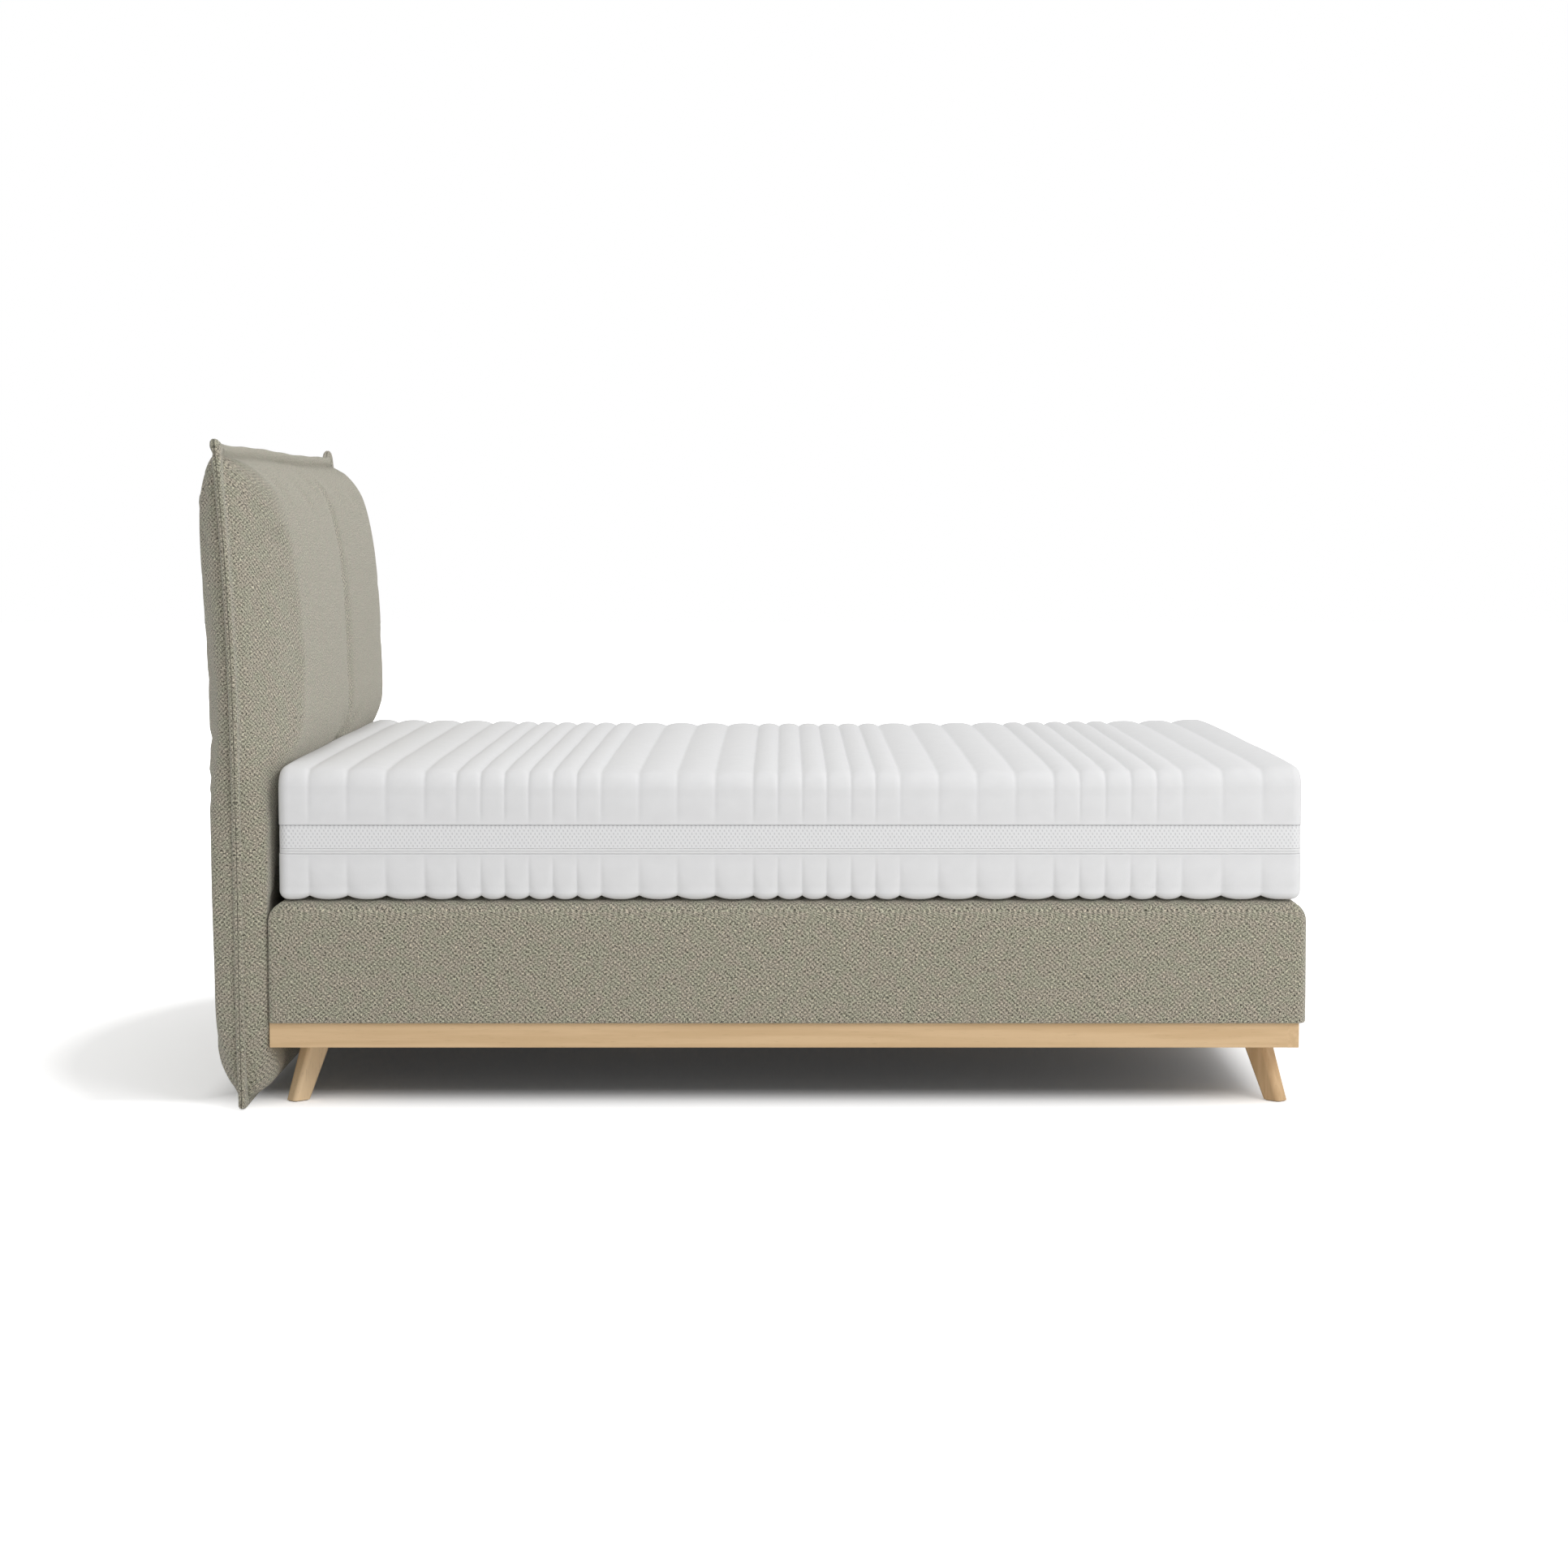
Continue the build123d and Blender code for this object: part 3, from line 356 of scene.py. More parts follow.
upholstery = upholstery_cloth()
quilt = quilt_cloth()
mesh = mesh_cloth()
thread = seam_thread()
zip_cloth = zip_tape_cloth()
zip_coil = coil_plastic()
oak_light = colour(0.72, 0.51, 0.295)
oak_dark = colour(0.65, 0.45, 0.25)
oak_long = timber("oak_along_the_bed", "X", oak_light, oak_dark)
oak_cross = timber("oak_across_the_bed", "Y", oak_light, oak_dark)
# The legs' pale tone is painted light: it lightens the head-end legs, which stand in more shade.
oak_leg_with_painted_light = timber(
    "oak_upright_with_painted_light", "Z", colour(0.69, 0.48, 0.27), colour(0.6, 0.4, 0.215),
    pale=colour(0.97, 0.74, 0.47),
)
pine_light = colour(0.72, 0.56, 0.36)
pine_dark = colour(0.6, 0.42, 0.24)
pine_long = timber("pine_along_the_bed", "X", pine_light, pine_dark, 0.6)
pine_cross = timber("pine_across_the_bed", "Y", pine_light, pine_dark, 0.6)
pine_upright = timber("pine_upright", "Z", pine_light, pine_dark, 0.6)
panel_board = timber("thin_panel_board", "Z", colour(0.55, 0.4, 0.25), colour(0.45, 0.31, 0.18), 0.8)
steel = plain_finish(
    "zinc_plated_steel", colour(0.62, 0.62, 0.6), colour(0.5, 0.5, 0.49), 300.0, 0.38, metal=1.0
)
enamel = plain_finish("white_enamel", colour(0.82, 0.82, 0.82), colour(0.76, 0.76, 0.77), 90.0, 0.35)
glide_felt = plain_finish("glide_felt", colour(0.36, 0.31, 0.25), colour(0.26, 0.22, 0.18), 900.0, 0.95)
grey_felt = plain_finish("grey_felt", colour(0.4, 0.4, 0.4), colour(0.28, 0.28, 0.29), 700.0, 0.95)
pocket_cloth = plain_finish(
    "spring_pocket_cloth", colour(0.8, 0.8, 0.78), colour(0.7, 0.7, 0.69), 260.0, 0.85
)
seat_foam = plain_finish("cut_foam", colour(0.8, 0.76, 0.6), colour(0.7, 0.65, 0.48), 500.0, 0.9)
dust_cloth = plain_finish(
    "dust_cloth", colour(0.075, 0.075, 0.078), colour(0.05, 0.05, 0.052), 400.0, 0.9
)

node_finishes = {
    "plinth_rail_foot": oak_cross,
    "plinth_rail_head": oak_cross,
    "plinth_rail_near": oak_long,
    "plinth_rail_far": oak_long,
    "plinth_centre_beam": pine_long,
    "plinth_corner_blocks": pine_long,
    "leg_near_head": oak_leg_with_painted_light,
    "leg_far_head": oak_leg_with_painted_light,
    "leg_near_foot": oak_leg_with_painted_light,
    "leg_far_foot": oak_leg_with_painted_light,
    "centre_legs": oak_leg_with_painted_light,
    "leg_glides": glide_felt,
    "leg_plates": steel,
    "plate_screws": steel,
    "leg_hanger_bolts": steel,
    "box_head_board": pine_cross,
    "box_foot_board": pine_cross,
    "box_side_board_near": pine_long,
    "box_side_board_far": pine_long,
    "box_corner_posts": pine_upright,
    "box_ledgers": pine_long,
    "box_centre_bearer": pine_long,
    "box_slats": pine_cross,
    "box_spring_base": grey_felt,
    "box_pocket_springs": pocket_cloth,
    "box_felt_pad": grey_felt,
    "box_top_foam": seat_foam,
    "box_dust_cover": dust_cloth,
    "box_bolts": steel,
    "headboard_post_near": pine_upright,
    "headboard_post_far": pine_upright,
    "headboard_cross_rails": pine_cross,
    "headboard_panel": panel_board,
    "headboard_tee_nuts": steel,
    "headboard_bolts": steel,
    "headboard_foam_front": seat_foam,
    "headboard_foam_back": seat_foam,
    "mattress_core": seat_foam,
    "zip_slider": enamel,
    "zip_pull": enamel,
}
for node_name, node_finish in node_finishes.items():
    node_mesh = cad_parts[node_name].data
    node_mesh.materials.clear()
    node_mesh.materials.append(node_finish)


# Cloth that is laid over a form

def kept(value, low=0.0, high=1.0):
    """A value kept between two limits."""
    return min(max(value, low), high)


def between(values, places, at):
    """A smooth curve through a table of values, read at one place."""
    at = kept(at, places[0], places[-1])
    right = next(n for n in range(1, len(places)) if at <= places[n])
    left = right - 1
    share = (at - places[left]) / (places[right] - places[left])

    def slope(n):
        low = max(n - 1, 0)
        high = min(n + 1, len(places) - 1)
        return (values[high] - values[low]) / (places[high] - places[low])

    run = places[right] - places[left]
    square = share * share
    cube = square * share
    start = (2 * cube - 3 * square + 1) * values[left] + (cube - 2 * square + share) * run * slope(left)
    end = (3 * square - 2 * cube) * values[right] + (cube - square) * run * slope(right)
    return start + end


def arc_lengths(points):
    lengths = [0.0]
    for first, second in zip(points, points[1:]):
        lengths.append(lengths[-1] + (second - first).length)
    return lengths


weld_distance = 0.00002


def lay_cloth(columns, rows, place, turn_over=False, closed=False):
    """Lays a grid of cloth over a form and marks how far along and up the cloth each point is."""
    bm = bmesh.new()
    bmesh.ops.create_grid(bm, x_segments=columns, y_segments=rows, size=0.5)
    spots = {}
    for vert in bm.verts:
        spots[vert] = (round((vert.co.x + 0.5) * columns), round((vert.co.y + 0.5) * rows))
    points = []
    for column in range(columns + 1):
        points.append([Vector(place(column, row)) for row in range(rows + 1)])
    along = [arc_lengths([strip[row] for strip in points]) for row in range(rows + 1)]
    up = [arc_lengths(strip) for strip in points]
    cloth = bm.loops.layers.uv.new("cloth")
    for face in bm.faces:
        for loop in face.loops:
            column, row = spots[loop.vert]
            run = along[row][column] - along[row][columns // 2]
            rise = up[column][row] - up[column][rows // 2]
            loop[cloth].uv = (run, rise)
    for vert, (column, row) in spots.items():
        vert.co = points[column][row]
    if closed:
        bmesh.ops.remove_doubles(bm, verts=bm.verts, dist=weld_distance)
    if turn_over:
        bmesh.ops.reverse_faces(bm, faces=bm.faces)
    return bm


def finish_piece(name, bm, material, body, smooth=True):
    """Makes a piece from a bmesh, gives it its finish and sets it on its body."""
    mesh_data = bpy.data.meshes.new(name)
    bm.to_mesh(mesh_data)
    bm.free()
    piece = bpy.data.objects.new(name, mesh_data)
    scene.collection.objects.link(piece)
    mesh_data.materials.append(material)
    for face in mesh_data.polygons:
        face.use_smooth = smooth
    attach(piece, body)
    return piece


def give_wall(piece, thickness):
    wall = piece.modifiers.new("wall", "SOLIDIFY")
    wall.thickness = thickness
    wall.offset = -1.0
    wall.use_rim = True


def unevenness(point, size, depth):
    """A soft hollow or swell of the padding at a point."""
    return depth * noise.noise(Vector(point) / size)


# Headboard covers

flange_rings = 8
flange_shares = [0.9, 0.4, 0.03, 0.0, 0.05, 0.18, 0.42, 0.72, 1.0]
side_roll = [0.0006, 0.0004, 0.0005, 0.0013, 0.0044, 0.0066, 0.0082, 0.0088, 0.0066]
top_roll = [0.0006, 0.0004, 0.0006, 0.0018, 0.0058, 0.0098, 0.0122, 0.0112, 0.0046]
side_columns = 16
middle_columns = 40
cover_columns = 2 * (flange_rings + side_columns) + middle_columns
pillow_rows = 84
cover_rows = 2 * flange_rings + pillow_rows

# Where the pillow and its seam stand
pillow_bottom = 0.022
pillow_height = 1.248
seam_foot = 0.05304
seam_lean = 0.039
seam_bow = 0.0125
seam_wander = 0.04
seam_strip = 0.012
flange_top = 1.3005
flange_on_top = 0.0235
even_rows = 0.45

# The ears at the flange's corners: their heights and reaches, and the slopes beside them
near_ear = 0.012
near_slope = 0.0055
near_slope_reach = 0.09
far_ear = 0.024
far_ear_reach = 0.034
far_slope = 0.002
far_slope_reach = 0.08
low_ear = 0.005
ear_reach = 0.03
ear_pinch = 0.12
neck_pinch = 0.65
neck_height = 1.281
neck_reach = 0.009
side_waist = 0.0075

# How the pillow turns in at its sides and sinks at its middle seam
far_side_run = 0.82
front_wedge = 0.65
valley_share = 0.112
middle_seam_reach = 0.014
back_swell = 0.005
middle_strip = 0.004
held_below = 0.43

# The panel between the two foams, and how far the foam stays inside its cover
panel_x = -1.0035
panel_half = 0.785
panel_low = 0.1
panel_high = 1.19
foam_in = 0.008
foam_middle = 0.65
foam_top = 1.256
foam_narrower = 1 - 0.02 / 0.79
foam_lower = 1 - 0.018 / 1.25


def middle_x(height):
    """The upright plane of the headboard that its padding is measured from."""
    share = height / headboard_top
    return head_end - seam_foot - seam_lean * share + 4 * seam_bow * share * (1 - share)


def seam_x(height):
    """The side seam, which wanders a little from that plane."""
    share = height / headboard_top
    return middle_x(height) + seam_wander * share * (1 - share) * (2 * share - 1)


def peak(distance, reach):
    """A bell-shaped rise: 1 at no distance and nearly nothing past twice its reach."""
    return math.exp(-((distance / reach) ** 2))


def top_edge(y):
    """The wavy top of the flange between its two ears, of which the far one is taller."""
    near = ear_half + y
    far = ear_half - y
    ears = near_slope * math.exp(-near / near_slope_reach) + near_ear * peak(near, ear_reach)
    ears += far_ear * peak(far, far_ear_reach) + far_slope * math.exp(-far / far_slope_reach)
    return flange_top + ears + 0.0016 * math.cos(6 * y + 1.7) + 0.0007 * math.sin(23 * y)


def bottom_edge(y):
    return 0.0008 + 0.0095 * max(1 - (y / ear_half) ** 2, 0.0)


def side_edge(z):
    share = z / headboard_top
    waist = side_waist * (1 - abs(2 * share - 1) ** 3)
    return ear_half - 0.001 + low_ear * peak(z, ear_reach) - waist - 0.0012 * math.sin(z * 17)


def roll_depth(ring, y, z, facing):
    """How far one ply of the flange stands off the seam: flat at the sides, a full roll on top."""
    high = kept((z - headboard_top + 0.075) / 0.04)
    depth = side_roll[ring] * (1 - high) + top_roll[ring] * high
    ear = peak(ear_half - abs(y), ear_reach)
    neck = neck_pinch * ear * peak(z - neck_height, neck_reach) if facing < 0 else 0.0
    return depth * (1 - neck) * (1 - ear_pinch * ear * high)


def hollow_depth(level, y, reach, depth, facing):
    """How far the pillow sinks at its middle seam and sides; behind, it swells out instead."""
    if facing < 0:
        return -back_swell * (1 - reach ** 2)
    valley = valley_share * depth * kept((level - 0.36) / 0.12)
    hollow = valley * (2 * reach - 1) ** 2
    if reach < 0.5:
        hollow = 0.5 * (hollow + valley * math.exp(-abs(y) / middle_seam_reach))
    return hollow


def flange_outline(column, row, side, y, z):
    """The outer edge of the flange beside a point on the pillow's rim."""
    ring = min(column, row, cover_columns - column, cover_rows - row)
    across = min(column, cover_columns - column)
    upward = min(row, cover_rows - row)
    at_top = row > cover_rows / 2
    if across >= flange_rings:
        return y, top_edge(y) if at_top else bottom_edge(y)
    if upward >= flange_rings:
        return side * side_edge(z), z
    step = (max(across, upward) - ring) / (flange_rings - ring)
    angle = math.pi / 4 * (1 - step)
    wide = math.cos(angle) ** 0.6
    high = math.sin(angle) ** 0.6 if angle > 0 else 0.0
    if across > upward:
        wide, high = high, wide
    ear_y = ear_half - (0.001 if at_top else -0.005)
    outline_y = y + (side * ear_y - y) * wide
    ear_z = top_edge(outline_y) if at_top else bottom_edge(outline_y)
    return outline_y, z + (ear_z - z) * high


def pillow_point(column, row, depths, facing):
    """A point of one headboard cover: flange rings round the outside, the pillow inside them."""
    ring = min(column, row, cover_columns - column, cover_rows - row, flange_rings)
    inner_column = kept(column, flange_rings, cover_columns - flange_rings) - flange_rings
    inner_row = kept(row, flange_rings, cover_rows - flange_rings) - flange_rings
    share = inner_row / pillow_rows
    share = even_rows * share + (1 - even_rows) * (0.5 - 0.5 * math.cos(math.pi * share))
    level = level_shares[0] + share * (level_shares[-1] - level_shares[0])
    depth = between(depths, level_shares, level)
    half = between(half_widths, level_shares, level)
    side = -1 if inner_column < side_columns + middle_columns / 2 else 1
    run = depth * between(run_shares, level_shares, level)
    if side > 0 and facing > 0:
        run *= far_side_run
    from_edge = min(inner_column, 2 * side_columns + middle_columns - inner_column)
    if from_edge <= side_columns:
        angle = math.pi / 2 * from_edge / side_columns
        wedge = front_wedge * kept((level - 0.4) / 0.12, 0.25) if facing > 0 else 0.0
        turned_in = wedge * from_edge / side_columns + (1 - wedge) * (1 - math.cos(angle))
        y = side * (half - run * turned_in)
        rise = math.sin(angle)
    else:
        step = (from_edge - side_columns) / (middle_columns / 2)
        y = side * (half - run) * (1 - step)
        rise = 1.0
    reach = min(abs(y) / (half - run), 1.0)
    hollow = hollow_depth(level, y, reach, depth, facing)
    z = pillow_bottom + level * pillow_height
    z_share = (level - level_shares[0]) / (level_shares[-1] - level_shares[0])
    top_pull = top_edge(y) - flange_on_top - (pillow_bottom + level_shares[-1] * pillow_height)
    z += top_pull * z_share ** 14
    base = roll_depth(flange_rings, y, z, facing)
    offset = base + (max(depth, base) - hollow - base) * rise
    if ring == flange_rings:
        return (seam_x(z) + (middle_x(z) - seam_x(z)) * rise + facing * offset, y, z)
    outline_y, outline_z = flange_outline(column, row, side, y, z)
    inward = flange_shares[ring]
    point_y = outline_y + (y - outline_y) * inward
    point_z = outline_z + (z - outline_z) * inward
    return (seam_x(point_z) + facing * roll_depth(ring, point_y, point_z, facing), point_y, point_z)


cloth_frames = 20


def swell(piece, pressure, cap, held):
    """Blows the cloth up a little over its filling with Blender's cloth, held along its seams."""
    start = [vert.co.copy() for vert in piece.data.vertices]
    seams = piece.vertex_groups.new(name="sewn")
    seams.add([index for index, co in enumerate(start) if held(co)], 1.0, "REPLACE")
    cloth = piece.modifiers.new("cloth", "CLOTH")
    cloth.settings.vertex_group_mass = "sewn"
    cloth.settings.use_pressure = True
    cloth.settings.uniform_pressure_force = pressure
    cloth.settings.effector_weights.gravity = 0
    cloth.settings.shrink_min = -0.012
    cloth.settings.tension_stiffness = 30
    cloth.settings.compression_stiffness = 30
    cloth.settings.bending_stiffness = 2.0
    cloth.point_cache.frame_start = 1
    cloth.point_cache.frame_end = cloth_frames
    for number in range(1, cloth_frames + 1):
        scene.frame_set(number)
    shaped = piece.evaluated_get(bpy.context.evaluated_depsgraph_get()).data
    moved = [vert.co.copy() for vert in shaped.vertices]
    piece.modifiers.remove(cloth)
    piece.vertex_groups.remove(seams)
    scene.frame_set(1)
    for vert, before, after in zip(piece.data.vertices, start, moved):
        step = after - before
        vert.co = before + step * min(1.0, cap / max(step.length, 1e-9))


def sewn_down(co, facing):
    """Whether a point is held: near the side seams, and in front also at the middle and low down."""
    if facing * (co.x - seam_x(co.z)) < seam_strip or abs(co.y) > panel_half:
        return True
    return facing > 0 and (abs(co.y) < middle_strip or co.z < held_below)


def headboard_cover(name, depths, facing, node):
    bm = lay_cloth(
        cover_columns,
        cover_rows,
        lambda column, row: pillow_point(column, row, depths, facing),
        turn_over=facing < 0,
    )
    piece = finish_piece(name, bm, upholstery, "bed_base")
    swell(piece, pressure=3.0, cap=0.006, held=lambda co: sewn_down(co, facing))
    give_wall(piece, 0.0025)
    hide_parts(node)


headboard_cover("headboard_front", front_depths, 1, "headboard_cover_front")
headboard_cover("headboard_back", back_depths, -1, "headboard_cover_back")


def headboard_filling(name, depths, facing, node):
    """The foam under one headboard cover: its pillow drawn in, with a flat back on the panel."""
    def foam_point(column, row):
        x, y, z = pillow_point(column + flange_rings, row + flange_rings, depths, facing)
        x -= facing * foam_in
        if abs(y) < panel_half and panel_low < z < panel_high:
            x = max(x, panel_x + 0.001) if facing > 0 else min(x, panel_x - 0.001)
        height = foam_middle + (z - foam_middle) * foam_lower
        return (x, y * foam_narrower, min(height, foam_top))

    bm = lay_cloth(
        cover_columns - 2 * flange_rings, pillow_rows, foam_point, turn_over=facing < 0
    )
    rim = [edge for edge in bm.edges if edge.is_boundary]
    skirt = bmesh.ops.extrude_edge_only(bm, edges=rim)["geom"]
    for part in skirt:
        if isinstance(part, bmesh.types.BMVert):
            part.co.x = min(part.co.x, panel_x) if facing > 0 else max(part.co.x, panel_x)
    bmesh.ops.holes_fill(bm, edges=[edge for edge in bm.edges if edge.is_boundary])
    bmesh.ops.recalc_face_normals(bm, faces=bm.faces)
    piece = finish_piece(name, bm, seat_foam, "bed_base")
    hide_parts(node)


headboard_filling("headboard_front_foam", front_depths, 1, "headboard_foam_front")
headboard_filling("headboard_back_foam", back_depths, -1, "headboard_foam_back")


# Rings and covers that run round the bed

corner_columns = 8
long_columns = 60
short_columns = 48
ring_columns = 4 * corner_columns + 2 * (long_columns + short_columns)
least_corner = 0.0004


def round_outline(column, x_span, half, corner, inset, head_corner=None):
    """A point on a rounded oblong seen from above, from the near head corner round the foot."""
    foot_round = max(corner - inset, least_corner)
    head_round = max((head_corner or corner) - inset, least_corner)
    low_x = x_span[0] + inset + head_round
    high_x = x_span[1] - inset - foot_round
    head_y = max(half - inset - head_round, 0.0)
    foot_y = max(half - inset - foot_round, 0.0)
    sides = [
        (long_columns, (low_x, -head_y, head_round), (high_x, -foot_y, foot_round), -90),
        (short_columns, (high_x, -foot_y, foot_round), (high_x, foot_y, foot_round), 0),
        (long_columns, (high_x, foot_y, foot_round), (low_x, head_y, head_round), 90),
        (short_columns, (low_x, head_y, head_round), (low_x, -head_y, head_round), 180),
    ]
    column = column % ring_columns
    for count, start, end, heading in sides:
        outward = math.radians(heading)
        if column <= count:
            share = column / count
            radius = start[2] + (end[2] - start[2]) * share
            x = start[0] + (end[0] - start[0]) * share + radius * math.cos(outward)
            y = start[1] + (end[1] - start[1]) * share + radius * math.sin(outward)
            return x, y
        column -= count
        if column <= corner_columns:
            angle = outward + math.radians(90) * column / corner_columns
            return end[0] + end[2] * math.cos(angle), end[1] + end[2] * math.sin(angle)
        column -= corner_columns


def turns(steps, start, end):
    """Angles in even steps between two headings in degrees."""
    return [math.radians(start + (end - start) * step / steps) for step in range(steps + 1)]


box_span = (head_end, box_foot_end)
box_middle = (head_end + box_foot_end) / 2

# Corner radii seen from above, the part of the wall that is uneven, and the rounded edges
box_corner = 0.02
box_head_corner = 0.007
box_wall_low = 0.18
box_wall_high = 0.41
box_wall_near = 0.03
bottom_round = 0.004
top_round = 0.04
top_crown = 0.004
wall_steps = 12
box_hem = [(0.042, 0.1733), (0.0415, 0.1722), (0.04, 0.1712), (0.022, 0.171)]
crown_rows = [(0.05, 0.003), (0.065, 0.0008), (0.08, 0.0)]
flat_insets = (0.1, 0.16, 0.3, 0.5, 0.7, box_half)


def box_profile():
    """Inset and height of the box cover from its hem, round the lower edge, up and over the top."""
    profile = list(box_hem)
    wall_foot = box_base + bottom_round
    for turn in turns(4, -90, 0):
        inset = bottom_round - bottom_round * math.cos(turn)
        profile.append((inset, wall_foot + bottom_round * math.sin(turn)))
    for step in range(1, wall_steps):
        rise = (box_top - top_round - box_base - bottom_round) * step / wall_steps
        profile.append((0.0, wall_foot + rise))
    for turn in turns(9, 0, 90):
        inset = top_round - top_round * math.cos(turn)
        profile.append((inset, box_top - top_crown - top_round + top_round * math.sin(turn)))
    profile += [(inset, box_top - drop) for inset, drop in crown_rows]
    profile += [(inset, box_top) for inset in flat_insets]
    return profile


box_rows = box_profile()


def box_point(column, row):
    inset, height = box_rows[row]
    x, y = round_outline(column, box_span, box_half, box_corner, inset, box_head_corner)
    if box_wall_low < height < box_wall_high and inset < box_corner:
        ease = min(height - box_wall_low, box_wall_high - height, box_wall_near) / box_wall_near
        push = ease * unevenness((x, y, height), 0.16, 0.0011)
        if abs(y) > box_half - box_wall_near:
            y += math.copysign(push, y)
        if abs(x - box_middle) > (box_foot_end - head_end) / 2 - box_wall_near:
            x += math.copysign(push, x - box_middle)
    return (x, y, height)


box_bm = lay_cloth(ring_columns, len(box_rows) - 1, box_point, closed=True)
box_bm.normal_update()

# The top is one flat sheet, so its weave runs straight and isn't crowded toward the middle
box_weave = box_bm.loops.layers.uv["cloth"]
for box_face in box_bm.faces:
    if box_face.normal.z > 0.5:
        for box_loop in box_face.loops:
            box_loop[box_weave].uv = box_loop.vert.co.xy
box_padding = finish_piece("box_padding", box_bm, upholstery, "bed_base")
give_wall(box_padding, 0.004)
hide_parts("box_cover")


foam_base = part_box("box_top_foam")[0].z
foam_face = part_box("box_top_foam")[1].z - 0.001
foam_inset = 0.008
foam_rows = [
    (box_half, foam_base),
    (0.3, foam_base),
    (foam_inset + 0.004, foam_base),
    (foam_inset, foam_base + 0.003),
]
for foam_turn in turns(8, 0, 90):
    foam_edge = foam_inset + top_round - top_round * math.cos(foam_turn)
    foam_rows.append((foam_edge, foam_face - top_round + top_round * math.sin(foam_turn)))
foam_rows += [(0.3, foam_face), (box_half, foam_face)]


def top_foam_point(column, row):
    inset, height = foam_rows[row]
    x, y = round_outline(column, box_span, box_half, box_corner, inset)
    return (x, y, height)


foam_bm = lay_cloth(ring_columns, len(foam_rows) - 1, top_foam_point, closed=True)
box_filling = finish_piece("box_top_filling", foam_bm, seat_foam, "bed_base")
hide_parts("box_top_foam")


sheet_columns = 48
sheet_rows = 40
sheet_inset = 0.0423
sheet_length = 1.9464
sheet_height = 0.1732
sheet_sag = 0.0035
beam_half = 0.05
beam_to_edge = 0.69


def dust_sheet_point(column, row):
    """The black cloth under the frame, which hangs a little between its edges and the beam."""
    x = box_foot_end - sheet_inset - sheet_length * (1 - column / sheet_columns)
    y = (box_half - sheet_inset) * (2 * row / sheet_rows - 1)
    free = kept((abs(y) - beam_half) / beam_to_edge)
    hang = sheet_sag * math.sin(math.pi * free) * math.sin(math.pi * column / sheet_columns) ** 0.5
    hang *= 1 + 0.4 * unevenness((x, y, 0), 0.2, 1.0)
    return (x, y, sheet_height - hang)


sheet_bm = lay_cloth(sheet_columns, sheet_rows, dust_sheet_point, turn_over=True)
dust_sheet = finish_piece("dust_sheet", sheet_bm, dust_cloth, "bed_base")
give_wall(dust_sheet, 0.0008)
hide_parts("box_dust_cover")


mattress_span = (mattress_head, mattress_foot)
mattress_corner = 0.021


def mattress_ring(name, profile, material, node=None, wall=0.003):
    """A strip that runs round the mattress, from rows of inset and height."""
    def ring_point(column, row):
        inset, height = profile[row]
        x, y = round_outline(column, mattress_span, mattress_half, mattress_corner, inset)
        return (x, y, height)

    bm = lay_cloth(ring_columns, len(profile) - 1, ring_point, closed=True)
    piece = finish_piece(name, bm, material, "mattress")
    give_wall(piece, wall)
    if node:
        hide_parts(node)
    return piece


band_profile = [
    (0.0009, band_base + 0.0001),
    (0.0009, band_base + 0.0015),
    (0.0009, band_base + 0.01),
    (0.0007, band_base + 0.023),
    (0.0009, band_base + 0.036),
    (0.0013, band_base + 0.043),
    (0.002, band_top - 0.0001),
]
mattress_band = mattress_ring("mesh_band", band_profile, mesh, "mattress_border_band")

thread_profile = [
    (0.0018, band_top - 0.0016),
    (0.0009, band_top - 0.0012),
    (0.0007, band_top - 0.0007),
    (0.0009, band_top - 0.0002),
    (0.0018, band_top + 0.0001),
]
mattress_ring("seam_thread_line", thread_profile, thread, wall=0.0004)

tape_profile = [
    (0.0015, zip_base + 0.0001),
    (0.0009, zip_base + 0.0008),
    (0.0007, zip_base + 0.0022),
    (0.0008, zip_base + 0.0034),
    (0.0012, zip_base + 0.0042),
    (0.0012, zip_base + 0.0058),
    (0.0008, zip_base + 0.0066),
    (0.0007, zip_base + 0.0078),
    (0.0008, zip_base + 0.0094),
    (0.0009, band_base - 0.0001),
]
mattress_ring("zip_band", tape_profile, zip_cloth, "zip_tape", wall=0.0015)

coil_profile = []
for coil_turn in turns(8, 0, -180):
    coil_inset = 0.0012 + 0.0005 * math.sin(coil_turn)
    coil_profile.append((coil_inset, zip_base + 0.005 - 0.001 * math.cos(coil_turn)))
mattress_ring("zip_teeth", coil_profile, zip_coil, "zip_chain", wall=0.0006)


# Quilted mattress covers

channel_steps = 10
end_arc_steps = 8
end_face_steps = 7
quilt_depth = 0.02
hem_depth = 0.011
hem_rows = [(hem_depth, 0.0001), (0.0016, 0.0002), (0.0003, 0.0012)]
side_fullness = 0.0018
seam_clearance = 0.0003
hem_sharpness = 9
face_sharpness = 2.5
seam_crowding = 0.75
roundness = 0.84
side_sag = 0.005

# The low ridge along the side edges of the base
rim_drop = 0.0018
rim_line = 0.786
rim_reach = 0.012


def channel_joints():
    """The places along the mattress where one quilted channel meets the next."""
    unit = (mattress_foot - mattress_head) / sum(channel_shares)
    joints = [mattress_head]
    for share in channel_shares:
        joints.append(joints[-1] + share * unit)
    return joints


